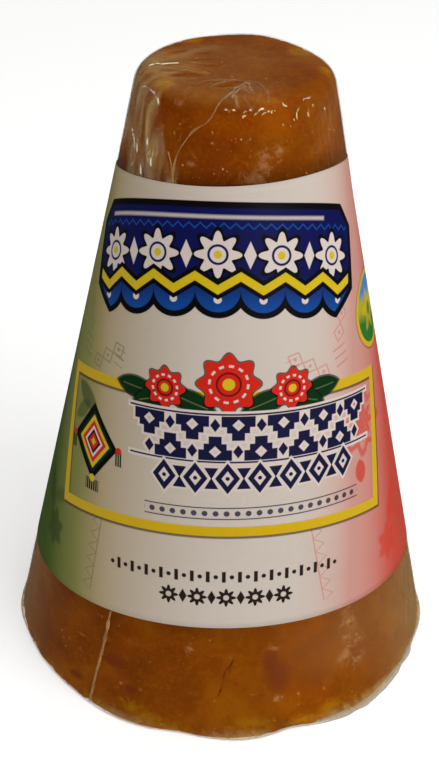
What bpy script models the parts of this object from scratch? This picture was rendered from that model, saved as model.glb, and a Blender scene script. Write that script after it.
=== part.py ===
"""Piloncillo in its wrap: a cast cone of brown cane sugar in tight clear film, with a paper label
round it. Metres, +Z up. The origin is the middle of the flat base, and the label's front looks
towards -Y. Azimuth is measured from the front, and is positive towards +X.

Two solids stand for it:
  wrapped_cone  the sugar block with its film drawn over it, out to the film's own outline
  paper_label   the printed band glued round the film, its ends lapped at the back
"""

import math

import bpy
import numpy as np

MM = 0.001

# The cast cone, out to the film. Its slant side, produced, meets the flat top at TOP_RADIUS.
BASE_RADIUS = 33 * MM
TOP_RADIUS = 13 * MM
HEIGHT = 93 * MM
TOP_EDGE_ROUND = 2.8 * MM
BASE_EDGE_ROUND = 0.4 * MM
AROUND = 120
SIDE_ROWS = 12
TOP_EDGE_ROWS = 5
BASE_EDGE_ROWS = 3
TOP_FACE_RINGS = (4 * MM, 7.5 * MM)

# Unevenness of the casting under the film: (waves round, waves up, height, phase in degrees)
CAST_LUMPS = (
    (2, 1.0, 0.10 * MM, 20),
    (3, 1.7, 0.08 * MM, 140),
    (5, 2.6, 0.05 * MM, 250),
)

# The film is drawn in along the side by the band, and stands proud at the rim and the shoulder.
DRAWN_IN = 0.3 * MM
DRAWN_IN_RISE = (3 * MM, 9 * MM)
DRAWN_IN_FALL = (84 * MM, 89 * MM)

# Along the base edge, folds of the film's hem that stand out and chips in the sugar that draw it
# in: (azimuth, half width, reach) in degrees, degrees, metres
HEM_FOLDS = (
    (-82, 13, 0.50 * MM),
    (-50, 26, -0.22 * MM),
    (-27, 20, 0.40 * MM),
    (-12, 8, -0.25 * MM),
    (6, 15, 0.65 * MM),
    (19, 9, -0.45 * MM),
    (41, 20, 0.95 * MM),
    (60, 14, 0.25 * MM),
    (83, 13, 0.45 * MM),
    (112, 16, -0.30 * MM),
    (139, 19, 0.45 * MM),
    (174, 21, 0.40 * MM),
    (-148, 14, -0.35 * MM),
    (-119, 18, 0.40 * MM),
)
HEM_RISE = 2.4 * MM

# Loose film that stands off both shoulders: (azimuth, half width, reach)
SHOULDER_FOLDS = (
    (-72, 36, 0.20 * MM),
    (78, 48, 0.45 * MM),
    (165, 40, 0.30 * MM),
)
SHOULDER_FOOT = 72 * MM

# Where the film's ends are twisted together on the top
GATHER_CENTRE = (1.6 * MM, -8.2 * MM)
GATHER_RADIUS = 2.4 * MM
GATHER_HEIGHT = 0.8 * MM

# The paper band. Its edges sit lower at the back, because it is cut as a shallow arc.
LABEL_THICKNESS = 0.2 * MM
LABEL_GAP = 0.3 * MM
LABEL_LAP = 9 * MM
LAP_RAMP = 14
LABEL_ROWS = 5
LABEL_COLUMNS = 128
LABEL_BOTTOM = (18.4 * MM, 3.3 * MM, 0.6 * MM, 0.53 * MM)
LABEL_TOP = (82.0 * MM, 4.3 * MM, 0.96 * MM, -0.7 * MM)

SUGAR_BROWN = (0.21, 0.075, 0.012, 1)
PAPER_WHITE = (0.62, 0.55, 0.50, 1)

HALF_ANGLE = math.atan((BASE_RADIUS - TOP_RADIUS) / HEIGHT)


def side_radius(height):
    """Radius of the plain slant side at a height."""
    return BASE_RADIUS - height * math.tan(HALF_ANGLE)


def smooth_step(value):
    """0 below 0, 1 above 1, and a smooth S between."""
    value = np.clip(value, 0, 1)
    return value * value * (3 - 2 * value)


def bump(azimuth, middle, half_width):
    """1 at an azimuth in degrees, falling smoothly to 0 at half_width degrees each side of it."""
    away = (np.degrees(azimuth) - middle + 180) % 360 - 180
    return smooth_step(1 - np.abs(away) / half_width)


def swell(azimuth, height):
    """How far the film stands out of the plain cone: low cast lumps, less where the band draws it in,
    and the folds and chips of the hem and the shoulders."""
    out = np.zeros_like(azimuth)
    for round_waves, up_waves, size, phase in CAST_LUMPS:
        turn = round_waves * azimuth + math.radians(phase)
        out += size * np.sin(turn) * np.sin(math.tau * up_waves * height / HEIGHT + turn)
    above_rim = smooth_step((height - DRAWN_IN_RISE[0]) / (DRAWN_IN_RISE[1] - DRAWN_IN_RISE[0]))
    below_top = smooth_step((DRAWN_IN_FALL[1] - height) / (DRAWN_IN_FALL[1] - DRAWN_IN_FALL[0]))
    out -= DRAWN_IN * above_rim * below_top
    for middle, half_width, reach in HEM_FOLDS:
        out += reach * bump(azimuth, middle, half_width) * smooth_step(1 - height / HEM_RISE)
    for middle, half_width, reach in SHOULDER_FOLDS:
        risen = smooth_step((height - SHOULDER_FOOT) / (DRAWN_IN_FALL[1] - SHOULDER_FOOT))
        out += reach * bump(azimuth, middle, half_width) * risen
    return out


def edge_arc(edge_round, height, first, last, count):
    """Points of the rounded edge that touches the slant side, its centre at the given height, from
    one angle above the horizontal to another."""
    centre = side_radius(height) - edge_round / math.cos(HALF_ANGLE)
    for step in range(count):
        angle = first + (last - first) * step / (count - 1)
        yield centre + edge_round * math.cos(angle), height + edge_round * math.sin(angle)


def cone_profile():
    """(radius, height) from the middle of the top, out and down the side, to the middle of the base."""
    top_edge = edge_arc(
        TOP_EDGE_ROUND, HEIGHT - TOP_EDGE_ROUND, math.pi / 2, HALF_ANGLE, TOP_EDGE_ROWS
    )
    base_edge = list(
        edge_arc(BASE_EDGE_ROUND, BASE_EDGE_ROUND, HALF_ANGLE, -math.pi / 2, BASE_EDGE_ROWS)
    )
    points = [(0, HEIGHT)] + [(ring, HEIGHT) for ring in TOP_FACE_RINGS] + list(top_edge)
    high, low = points[-1][1], base_edge[0][1]
    for row in range(1, SIDE_ROWS):
        height = high + (low - high) * row / SIDE_ROWS
        points.append((side_radius(height), height))
    return points + base_edge + [(0, 0)]


def named_material(name, colour, roughness):
    material = bpy.data.materials.new(name)
    material.use_nodes = True
    shader = material.node_tree.nodes["Principled BSDF"]
    shader.inputs["Base Color"].default_value = colour
    shader.inputs["Roughness"].default_value = roughness
    shader.inputs["Metallic"].default_value = 0
    return material


def new_object(name, mesh, collection, material):
    piece = bpy.data.objects.new(name, mesh)
    mesh.materials.append(material)
    collection.objects.link(piece)
    return piece


def turned(points, collection, material):
    """The profile's solid of revolution, as a plain mesh."""
    mesh = bpy.data.meshes.new("wrapped_cone")
    mesh.from_pydata([(r, 0, z) for r, z in points], [(i, i + 1) for i in range(len(points) - 1)], [])
    guide = new_object("turning_profile", mesh, collection, material)
    screw = guide.modifiers.new("Turn", "SCREW")
    screw.steps = screw.render_steps = AROUND
    screw.use_merge_vertices = True
    screw.merge_threshold = 0.00005
    bpy.context.view_layer.update()
    solid = bpy.data.meshes.new_from_object(
        guide.evaluated_get(bpy.context.evaluated_depsgraph_get())
    )
    bpy.data.objects.remove(guide)
    return solid


def wrapped_cone(collection, material):
    """The turned cone, pushed out or in by the swell, and raised at the twisted gather."""
    mesh = turned(cone_profile(), collection, material)
    place = np.empty(len(mesh.vertices) * 3)
    mesh.vertices.foreach_get("co", place)
    x, y, z = place.reshape(-1, 3).T
    radius = np.hypot(x, y)
    azimuth = np.arctan2(x, -y)
    on_side = smooth_step(radius / (TOP_RADIUS - TOP_EDGE_ROUND))
    on_base_face = (z < 1e-6) & (radius < BASE_RADIUS - 4 * BASE_EDGE_ROUND)
    factor = 1 + np.where(on_base_face, 0, swell(azimuth, z) * on_side) / np.maximum(radius, MM)
    from_gather = np.hypot(x - GATHER_CENTRE[0], y - GATHER_CENTRE[1]) / GATHER_RADIUS
    raised = GATHER_HEIGHT * smooth_step(1 - from_gather) * (z > HEIGHT - TOP_EDGE_ROUND)
    mesh.vertices.foreach_set("co", np.stack([x * factor, y * factor, z + raised], 1).ravel())
    mesh.update()
    mesh.shade_smooth()
    mesh.set_sharp_from_angle(angle=math.radians(50))
    return new_object("wrapped_cone", mesh, collection, material)


def label_edge(azimuth, edge):
    """Height of a cut edge of the band: a level, with waves once and twice round."""
    level, once_cos, once_sin, twice_cos = edge
    return (
        level
        + once_cos * (np.cos(azimuth) - 1)
        + once_sin * np.sin(azimuth)
        + twice_cos * (np.cos(2 * azimuth) - 1)
    )


def paper_label(collection, material):
    """An open sheet laid round the film, a little more than once, given its thickness outwards. Its
    outer end rises over its inner end at the back."""
    lap = LABEL_LAP / side_radius((LABEL_BOTTOM[0] + LABEL_TOP[0]) / 2)
    round_share, up_share = np.meshgrid(
        np.linspace(0, 1, LABEL_COLUMNS + 1), np.linspace(0, 1, LABEL_ROWS + 1), indexing="ij"
    )
    azimuth = (round_share - 0.5) * (math.tau + lap)
    low, high = label_edge(azimuth, LABEL_BOTTOM), label_edge(azimuth, LABEL_TOP)
    height = low + (high - low) * up_share
    lap_start = math.pi - lap / 2
    ramp = math.radians(LAP_RAMP)
    over = smooth_step((azimuth - lap_start + ramp) / ramp) * (LABEL_THICKNESS + LABEL_GAP)
    radius = side_radius(height) + swell(azimuth, height) + LABEL_GAP + over
    points = np.stack([radius * np.sin(azimuth), -radius * np.cos(azimuth), height], -1)
    first = np.arange(LABEL_COLUMNS)[:, None] * (LABEL_ROWS + 1) + np.arange(LABEL_ROWS)
    quads = np.stack([first, first + LABEL_ROWS + 1, first + LABEL_ROWS + 2, first + 1], -1)
    mesh = bpy.data.meshes.new("paper_label")
    mesh.from_pydata(points.reshape(-1, 3).tolist(), [], quads.reshape(-1, 4).tolist())
    mesh.shade_smooth()
    piece = new_object("paper_label", mesh, collection, material)
    wall = piece.modifiers.new("Paper", "SOLIDIFY")
    wall.thickness = LABEL_THICKNESS
    wall.offset = 1
    return piece


def main():
    for old in list(bpy.data.objects):
        bpy.data.objects.remove(old)
    collection = bpy.data.collections.new("piloncillo_cone")
    bpy.context.scene.collection.children.link(collection)
    wrapped_cone(collection, named_material("brown_sugar_in_film", SUGAR_BROWN, 0.35))
    paper_label(collection, named_material("label_paper", PAPER_WHITE, 0.45))


main()
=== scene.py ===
"""The looks of a wrapped piloncillo: a cast cone of brown cane sugar in tight clear film, with a
printed paper band round it, standing on its base. Metres, +Z up. Azimuth is measured from the
front of the band, at -Y, and is positive towards +X.

Pieces: sugar_block, sugar_crumbs, sugar_crystals, clear_film, film_seal, film_gather, film_hem and
printed_band. The block and the film stand for the solid wrapped_cone, the band for paper_label.
"""

import functools
import itertools
import math

import bpy
import numpy as np
from mathutils import Matrix, Vector


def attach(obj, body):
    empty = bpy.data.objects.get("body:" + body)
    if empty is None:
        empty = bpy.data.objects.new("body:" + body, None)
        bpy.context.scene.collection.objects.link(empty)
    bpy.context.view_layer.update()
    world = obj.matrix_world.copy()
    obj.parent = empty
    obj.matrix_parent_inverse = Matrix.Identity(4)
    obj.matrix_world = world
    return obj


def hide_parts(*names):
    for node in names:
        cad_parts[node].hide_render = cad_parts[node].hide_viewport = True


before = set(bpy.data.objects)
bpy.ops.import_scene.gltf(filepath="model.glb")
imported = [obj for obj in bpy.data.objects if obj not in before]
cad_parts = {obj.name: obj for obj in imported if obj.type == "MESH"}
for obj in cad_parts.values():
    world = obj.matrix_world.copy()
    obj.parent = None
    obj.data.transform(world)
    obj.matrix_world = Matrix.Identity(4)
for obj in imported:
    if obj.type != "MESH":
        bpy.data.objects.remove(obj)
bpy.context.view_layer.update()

MM = 0.001

# The cone that the solids follow: its slant side, produced, meets the flat top at TOP_RADIUS.
BASE_RADIUS = 33 * MM
TOP_RADIUS = 13 * MM
HEIGHT = 93 * MM
TOP_EDGE_ROUND = 2.8 * MM
BASE_EDGE_ROUND = 0.4 * MM
HALF_ANGLE = math.atan((BASE_RADIUS - TOP_RADIUS) / HEIGHT)
APEX_SLANT = BASE_RADIUS / math.sin(HALF_ANGLE)

# Folds of the film along the base edge and at the shoulders: (azimuth, half width, reach)
HEM_FOLDS = (
    (-82, 13, 0.50 * MM),
    (-50, 26, -0.22 * MM),
    (-27, 20, 0.40 * MM),
    (-12, 8, -0.25 * MM),
    (6, 15, 0.65 * MM),
    (19, 9, -0.45 * MM),
    (41, 20, 0.95 * MM),
    (60, 14, 0.25 * MM),
    (83, 13, 0.45 * MM),
    (112, 16, -0.30 * MM),
    (139, 19, 0.45 * MM),
    (174, 21, 0.40 * MM),
    (-148, 14, -0.35 * MM),
    (-119, 18, 0.40 * MM),
)
HEM_RISE = 2.4 * MM
SHOULDER_FOLDS = (
    (-72, 36, 0.20 * MM),
    (78, 48, 0.35 * MM),
    (165, 40, 0.30 * MM),
)
SHOULDER_FOOT = 72 * MM
SHOULDER_TOP = 89 * MM
SHOULDER_RADIUS = 9.5 * MM

# Where the film's ends are twisted together on the top
GATHER = (1.6 * MM, -8.4 * MM)

# The band's cut edges: level, waves once round (cos, sin) and twice round (cos)
BAND_BOTTOM = (18.4 * MM, 3.3 * MM, 0.6 * MM, 0.53 * MM)
BAND_TOP = (82.0 * MM, 4.3 * MM, 0.96 * MM, -0.7 * MM)
BAND_LAP = 9 * MM
BAND_SPAN = (20 * MM, 72 * MM)
BAND_OFF_SIDE = 0.08 * MM
BAND_THICKNESS = 0.12 * MM
# The azimuth over which the outer end climbs on to the inner one
LAP_RAMP = math.radians(14)

# How far the block lies inside the film, and above the floor
SUGAR_INSET = 0.11 * MM
SUGAR_INSET_BELOW = 0.12 * MM


# ---- Fields over the cone ----------------------------------------------------------------------


def smooth_step(value):
    """0 below 0, 1 above 1, and 3t^2 - 2t^3 between."""
    value = np.clip(value, 0, 1)
    return value * value * (3 - 2 * value)


def eased(value, start, full):
    """0 up to start and 1 from full on, eased between. Full may be the smaller of the two."""
    return smooth_step((value - start) / (full - start))


def bump(azimuth, middle, half_width):
    """1 at an azimuth in degrees, easing to 0 at half_width degrees each side of it."""
    away = (np.degrees(azimuth) - middle + 180) % 360 - 180
    return smooth_step(1 - np.abs(away) / half_width)


def rotated(u, v, degrees):
    """The coordinates along and across a direction that is turned by degrees."""
    cos, sin = math.cos(math.radians(degrees)), math.sin(math.radians(degrees))
    return u * cos + v * sin, v * cos - u * sin


def side_radius(height):
    """Radius of the plain slant side at a height."""
    return BASE_RADIUS - height * math.tan(HALF_ANGLE)


def polar(turn, radius, height):
    """The point at a turn from the front, a radius and a height."""
    return np.stack([radius * np.sin(turn), -radius * np.cos(turn), height], -1)


def noise(place, size, seed):
    """Smooth noise from -1 to 1: a random slope at each corner of a lattice of the given size, and
    the eight slopes round a point eased into one another."""
    slopes = np.random.default_rng(seed).normal(size=(1024, 3))
    slopes /= np.linalg.norm(slopes, axis=1, keepdims=True)
    lattice = place / size
    corner = np.floor(lattice).astype(np.int64)
    inside = lattice - corner
    ease = inside**3 * (inside * (6 * inside - 15) + 10)
    total = np.zeros(place.shape[:-1])
    for step in itertools.product((0, 1), repeat=3):
        at = corner + step
        pick = (at[..., 0] * 73856093 ^ at[..., 1] * 19349663 ^ at[..., 2] * 83492791) % 1024
        weight = np.prod(np.where(step, ease, 1 - ease), axis=-1)
        total += weight * np.sum(slopes[pick] * (inside - step), axis=-1)
    return total * 1.6


def unrolled(azimuth, height):
    """(turn in radians, slant in millimetres from the apex) of the cone's side laid out flat."""
    slant = (BASE_RADIUS / math.tan(HALF_ANGLE) - height) / math.cos(HALF_ANGLE)
    return azimuth * math.sin(HALF_ANGLE), slant / MM


def laid_flat(azimuth, height):
    """Millimetres across and up on the side laid out flat, from the front of the base edge."""
    turn, slant = unrolled(azimuth, height)
    return slant * np.sin(turn), APEX_SLANT / MM - slant * np.cos(turn)


def band_edge(azimuth, edge):
    """Height of a cut edge of the band: a level, with waves once and twice round."""
    level, once_cos, once_sin, twice_cos = edge
    once = once_cos * (np.cos(azimuth) - 1) + once_sin * np.sin(azimuth)
    return level + once + twice_cos * (np.cos(2 * azimuth) - 1)


def under_band(azimuth, height, ease, reach=0.0):
    """1 well behind the band, easing to 0 at its cut edges, or at reach beyond them."""
    above = smooth_step((height - band_edge(azimuth, BAND_BOTTOM) + reach) / ease)
    return above * smooth_step((band_edge(azimuth, BAND_TOP) + reach - height) / ease)


def line_distance(across, up, points):
    """Distance from a broken line, in the units of across and up."""
    nearest = np.full(across.shape, np.inf)
    for (x0, y0), (x1, y1) in zip(points, points[1:]):
        length = math.hypot(x1 - x0, y1 - y0)
        ux, uy = (x1 - x0) / length, (y1 - y0) / length
        along = np.clip((across - x0) * ux + (up - y0) * uy, 0, length)
        nearest = np.minimum(nearest, np.hypot(across - x0 - along * ux, up - y0 - along * uy))
    return nearest


# ---- Meshes ------------------------------------------------------------------------------------


def placed(name, data):
    """A new object in the scene."""
    thing = bpy.data.objects.new(name, data)
    bpy.context.scene.collection.objects.link(thing)
    return thing


def finished(name, mesh, material):
    """Puts a mesh in the scene as a smooth piece of the object."""
    mesh.shade_smooth()
    mesh.materials.append(material)
    piece = placed(name, mesh)
    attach(piece, "root")
    return piece


def named_field(mesh, name, values):
    """Stores one number or one vector for each vertex."""
    values = np.asarray(values, np.float32)
    if values.ndim == 1:
        mesh.attributes.new(name, "FLOAT", "POINT").data.foreach_set("value", values)
    else:
        layer = mesh.attributes.new(name, "FLOAT_VECTOR", "POINT")
        layer.data.foreach_set("vector", values.ravel())


def new_mesh(name, points, faces, fields=None):
    """A mesh from its points and its faces' corners, with fields of a value for each point."""
    mesh = bpy.data.meshes.new(name)
    mesh.from_pydata(np.reshape(points, (-1, 3)).tolist(), [], faces)
    for field, values in (fields or {}).items():
        named_field(mesh, field, values)
    return mesh


def turned_mesh(name, points, fields):
    """A closed mesh from rows of points that run right round, from the top's middle to the base's.
    The first and the last row have shrunk to one point each. fields are numbers on the same grid."""
    rows, columns = points.shape[:2]

    def flattened(grid):
        return np.concatenate([grid[0, :1], grid[1:-1].reshape(-1, *grid.shape[2:]), grid[-1, :1]])

    left = 1 + np.arange(rows - 2)[:, None] * columns + np.arange(columns)
    right = np.roll(left, -1, axis=1)
    quads = np.stack([left[:-1], left[1:], right[1:], right[:-1]], -1).reshape(-1, 4)
    bottom = 1 + (rows - 2) * columns
    cap = np.stack([np.zeros(columns, int), left[0], right[0]], -1)
    foot = np.stack([left[-1], np.full(columns, bottom), right[-1]], -1)
    faces = quads.tolist() + cap.tolist() + foot.tolist()
    fields = {field: flattened(values) for field, values in fields.items()}
    return new_mesh(name, flattened(points), faces, fields)


def strip_mesh(name, points, fields):
    """An open sheet from a grid of points, with fields on the same grid."""
    rows, columns = points.shape[:2]
    grid = np.arange(rows * columns).reshape(rows, columns)
    quads = np.stack([grid[:-1, :-1], grid[1:, :-1], grid[1:, 1:], grid[:-1, 1:]], -1)
    fields = {field: values.reshape(-1, *values.shape[2:]) for field, values in fields.items()}
    return new_mesh(name, points, quads.reshape(-1, 4).tolist(), fields)


def grains(name, centres, sizes, squash, seed):
    """Small angular grains as one mesh: an icosahedron for each centre, its corners moved in or out
    at random, turned at random, and squashed."""
    rng = np.random.default_rng(seed)
    golden = (1 + math.sqrt(5)) / 2
    pairs = [(a, b * golden) for a in (-1, 1) for b in (-1, 1)]
    corners = np.array(
        [(0, a, b) for a, b in pairs] + [(a, b, 0) for a, b in pairs] + [(b, 0, a) for a, b in pairs]
    )
    corners /= np.linalg.norm(corners[0])
    apart = np.linalg.norm(corners[:, None] - corners[None], axis=-1)
    near = (apart < 1.2) & (apart > 0)
    triples = itertools.combinations(range(12), 3)
    faces = np.array([t for t in triples if near[t[0], t[1]] and near[t[1], t[2]] and near[t[0], t[2]]])
    a, b, c = (corners[faces[:, k]] for k in range(3))
    inward = np.einsum("ij,ij->i", np.cross(b - a, c - a), a + b + c) < 0
    faces[inward] = faces[inward][:, ::-1]
    count = len(centres)
    shape = corners * rng.uniform(0.72, 1.1, (count, 12, 1)) * np.array([1, 1, squash])
    spin, _ = np.linalg.qr(rng.normal(size=(count, 3, 3)))
    spin *= np.sign(np.linalg.det(spin))[:, None, None]
    points = np.einsum("nij,nkj->nki", spin, shape) * sizes[:, None, None] + centres[:, None]
    every = (faces + 12 * np.arange(count)[:, None, None]).reshape(-1, 3)
    tint = np.repeat(rng.uniform(0, 1, count), 12)
    return new_mesh(name, points, every.tolist(), {"tint": tint})


def cone_rows(inset, top_rows, upper_rows, hidden_rows, lower_rows, base_rows, edge_rows=14):
    """Radius, height and the normal's angle above the horizontal of each row of the cone's profile,
    moved in by inset: flat top, rounded edge, slant side, rounded rim and flat base."""

    def edge(edge_round, height, first, last, count):
        angle = np.linspace(first, last, count)
        centre = side_radius(height) - edge_round / math.cos(HALF_ANGLE)
        at = centre + edge_round * np.cos(angle), height + edge_round * np.sin(angle), angle
        return at, centre

    half_pi = math.pi / 2
    top_edge, top_flat = edge(
        TOP_EDGE_ROUND, HEIGHT - TOP_EDGE_ROUND, half_pi, HALF_ANGLE, edge_rows
    )
    rim, base_flat = edge(BASE_EDGE_ROUND, BASE_EDGE_ROUND, HALF_ANGLE, -half_pi, 5)
    side = np.concatenate(
        [
            np.linspace(top_edge[1][-1], BAND_SPAN[1], upper_rows + 1)[1:],
            np.linspace(BAND_SPAN[1], BAND_SPAN[0], hidden_rows + 1)[1:],
            np.linspace(BAND_SPAN[0], rim[1][0], lower_rows + 1)[1:-1],
        ]
    )
    face = np.linspace(0, top_flat, top_rows + 1)[:-1]
    base = np.linspace(base_flat, 0, base_rows + 1)[1:]
    radius = np.concatenate([face, top_edge[0], side_radius(side), rim[0], base])
    height = np.concatenate([face * 0 + HEIGHT, top_edge[1], side, rim[1], base * 0])
    angle = np.concatenate(
        [face * 0 + half_pi, top_edge[2], side * 0 + HALF_ANGLE, rim[2], base * 0 - half_pi]
    )
    radius = radius - inset * np.cos(angle)
    radius[[0, -1]] = 0
    return radius, height - inset * np.sin(angle), angle


class Turned:
    """A turned surface as grids: azimuth, height, radius, place and outward normal. facing_up and
    facing_down are 1 on the flat top and on the base, and ease to 0 over the edges."""

    def __init__(self, columns, **rows):
        radius, height, angle = cone_rows(**rows)
        self.azimuth = np.linspace(-math.pi, math.pi, columns, endpoint=False)[None, :]
        self.azimuth = np.repeat(self.azimuth, len(radius), axis=0)
        self.radius = np.repeat(radius[:, None], columns, axis=1)
        self.height = np.repeat(height[:, None], columns, axis=1)
        angle = np.repeat(angle[:, None], columns, axis=1)
        self.place = polar(self.azimuth, self.radius, self.height)
        self.normal = polar(self.azimuth, np.cos(angle), np.sin(angle))
        self.facing_up = eased(np.degrees(angle), 20, 70)
        self.facing_down = eased(np.degrees(angle), -20, -70)

    def moved(self, out):
        """The places, moved along the normals by out."""
        return self.place + self.normal * np.asarray(out)[..., None]


def hem_folds(azimuth, height):
    """How far the film's hem stands out of the plain cone, or is drawn in where the sugar chipped."""
    low = eased(height, HEM_RISE, 0)
    return sum(reach * bump(azimuth, middle, half) * low for middle, half, reach in HEM_FOLDS)


def shoulder_folds(azimuth, height, radius=BASE_RADIUS):
    """How far the loose film of the shoulders stands out of the plain cone, less towards the middle
    of the top."""
    risen = eased(height, SHOULDER_FOOT, SHOULDER_TOP) * eased(radius, 0, SHOULDER_RADIUS)
    return sum(reach * bump(azimuth, middle, half) * risen for middle, half, reach in SHOULDER_FOLDS)


def film_folds(azimuth, height, radius=BASE_RADIUS):
    """How far the film stands out of the plain cone, before its creases."""
    return hem_folds(azimuth, height) + shoulder_folds(azimuth, height, radius)


# ---- Node helpers ------------------------------------------------------------------------------


class Field:
    """A number over a surface, held as a node's socket. Arithmetic on it adds Math nodes."""

    def __init__(self, tree, socket):
        self.tree, self.socket = tree, socket

    def math(self, operation, *others):
        node = self.tree.nodes.new("ShaderNodeMath")
        node.operation = operation
        for slot, value in zip(node.inputs, (self, *others)):
            feed(slot, value)
        return Field(self.tree, node.outputs[0])

    def __add__(self, other):
        return self.math("ADD", other)

    def __sub__(self, other):
        return self.math("SUBTRACT", other)

    def __mul__(self, other):
        return self.math("MULTIPLY", other)

    def __truediv__(self, other):
        return self.math("DIVIDE", other)

    def __abs__(self):
        return self.math("ABSOLUTE")

    __radd__, __rmul__ = __add__, __mul__

    def __rsub__(self, other):
        return (self * -1) + other

    def max(self, other):
        return self.math("MAXIMUM", other)

    def min(self, other):
        return self.math("MINIMUM", other)

    def clamped(self):
        """Held between 0 and 1."""
        out = self + 0.0
        out.socket.node.use_clamp = True
        return out

    def wrapped(self, period):
        """Repeats every period, from minus to plus half of it."""
        return self.math("WRAP", period / 2, -period / 2)


def feed(slot, value):
    """Links a field or a socket to an input, or sets the input to a plain value."""
    if isinstance(value, Field):
        value = value.socket
    if isinstance(value, bpy.types.NodeSocket):
        slot.node.id_data.links.new(value, slot)
    else:
        slot.default_value = value


def fill(node, values):
    """Links or sets a node's inputs by their names."""
    for name, value in values.items():
        feed(node.inputs[name], value)


def new_material(name):
    """A material with its node tree, its Principled shader, and a link from it to the output."""
    material = bpy.data.materials.new(name)
    material.use_nodes = True
    return material, material.node_tree, material.node_tree.nodes["Principled BSDF"]


def read(tree, name, output="Fac"):
    """A named number or vector of the mesh."""
    node = tree.nodes.new("ShaderNodeAttribute")
    node.attribute_name = name
    return Field(tree, node.outputs[output])


def parts(tree, vector):
    """The three numbers of a vector."""
    node = tree.nodes.new("ShaderNodeSeparateXYZ")
    feed(node.inputs[0], vector)
    return [Field(tree, socket) for socket in node.outputs]


def object_place(tree, scale=(1, 1, 1)):
    """The piece's own coordinates, stretched about the origin."""
    node = tree.nodes.new("ShaderNodeMapping")
    place = tree.nodes.new("ShaderNodeTexCoord").outputs["Object"]
    fill(node, {"Scale": scale, "Vector": place})
    return node.outputs["Vector"]


def noise_field(tree, place, size, detail=3.0, roughness=0.5, distortion=0.0):
    """Noise of about the given size in metres, from 0 to 1."""
    node = tree.nodes.new("ShaderNodeTexNoise")
    fill(node, {"Vector": place, "Scale": 1 / size, "Detail": detail})
    fill(node, {"Roughness": roughness, "Distortion": distortion})
    return Field(tree, node.outputs["Fac"])


def ramp(tree, value, stops):
    """A colour for each value, from (position, colour) stops."""
    node = tree.nodes.new("ShaderNodeValToRGB")
    elements = node.color_ramp.elements
    for position, _ in stops[2:]:
        elements.new(position)
    for element, (position, colour) in zip(elements, stops):
        element.position = position
        element.color = colour
    feed(node.inputs["Fac"], value)
    return node.outputs["Color"]


def blended(tree, share, below, above, mode="MIX"):
    """The colour above laid over the colour below, by a share from 0 to 1."""
    node = tree.nodes.new("ShaderNodeMix")
    node.data_type = "RGBA"
    node.blend_type = mode
    slots = {slot.identifier: slot for slot in (*node.inputs, *node.outputs)}
    feed(slots["Factor_Float"], share)
    feed(slots["A_Color"], below)
    feed(slots["B_Color"], above)
    return slots["Result_Color"]


def embossed(tree, shader, height, strength, distance):
    """Gives a shader fine relief that is too small for the mesh."""
    node = tree.nodes.new("ShaderNodeBump")
    fill(node, {"Strength": strength, "Distance": distance, "Height": height})
    feed(shader.inputs["Normal"], node.outputs["Normal"])


def over_shader(tree, share, below, above):
    """One shader laid over another, by a share from 0 to 1."""
    node = tree.nodes.new("ShaderNodeMixShader")
    for slot, value in zip(node.inputs, (share, below.outputs[0], above.outputs[0])):
        feed(slot, value)
    return node


# ---- Sugar -------------------------------------------------------------------------------------

# Things that show in the block's side, on the side laid out flat, in millimetres: a crack, then
# stains as (across, up, half width, half height)
CRACK = ((2.5, 15.2), (1.7, 12.7), (0.7, 11.2), (0.2, 8.4), (-0.3, 6.9))
DARK_STAINS = (
    (8.9, 10.3, 2.5, 3.6),
    (7.6, 12.6, 1.7, 2.6),
    (-13.7, 6.3, 1.5, 1.2),
    (-24.3, 5.2, 2.2, 0.9),
    (-16.6, 10.4, 3.0, 1.6),
)
PALE_STAINS = (
    (4.1, 86.6, 1.5, 2.6),
    (6.2, 88.2, 0.9, 1.4),
    (-5.6, 86.4, 1.1, 0.6),
    (2.9, 84.6, 2.2, 1.6),
    (-7.6, 94.0, 1.0, 0.7),
    (20.4, 16.4, 1.7, 3.8),
    (22.3, 12.8, 1.9, 2.2),
    (20.6, 10.8, 2.2, 1.6),
    (23.2, 9.6, 1.9, 1.8),
    (8.8, 6.5, 0.9, 0.7),
    (8.1, 15.0, 1.4, 0.5),
    (9.8, 10.3, 0.22, 0.22),
    (-23.2, 12.4, 1.2, 0.3),
    (-15.5, 6.9, 0.4, 0.3),
    (-12.2, 6.6, 0.4, 0.3),
    (-4.5, 15.0, 0.7, 1.0),
)
OCHRE_STAINS = (
    (-13.5, 3.2, 3.0, 1.7),
    (-11.2, 2.2, 3.0, 1.4),
    (-15.4, 4.2, 1.0, 0.8),
    (5.2, 2.6, 4.2, 1.5),
    (13.2, 1.8, 4.4, 1.3),
    (18.2, 3.2, 2.8, 1.7),
    (5.0, 94.6, 2.6, 0.5),
)
# Ochre stains on the top and its edge: (x, y, radius) in millimetres
TOP_STAINS = ((-9.6, -7.6, 2.2), (9.4, 5.4, 2.6), (-6.4, 9.4, 2.4), (12.4, -1.6, 1.8))
# Behind the band the block's lower part eases into its upper one: heights in millimetres
UPPER_PART = (70, 74)
# How far up the foot's edge is crumbled
RIM_HEIGHT = 3.2 * MM
PIT_COUNT = 700


def pitted(place, count, seed):
    """How far small round pits sink: 1 - (d/r)^2 of the depth within r of each of count places that
    are spread over the surface's own points."""
    rng = np.random.default_rng(seed)
    flat = place.reshape(-1, 3)
    centres = flat[rng.integers(0, len(flat), count)]
    radii = rng.uniform(0.25, 0.8, count) * MM
    sunk = np.zeros(len(flat))
    for centre, radius in zip(centres, radii):
        near = np.flatnonzero(np.abs(flat[:, 2] - centre[2]) < radius)
        share = np.linalg.norm(flat[near] - centre, axis=1) / radius
        sunk[near] = np.maximum(sunk[near], 0.3 * radius * np.clip(1 - share**2, 0, 1))
    return sunk.reshape(place.shape[:-1])


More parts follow.
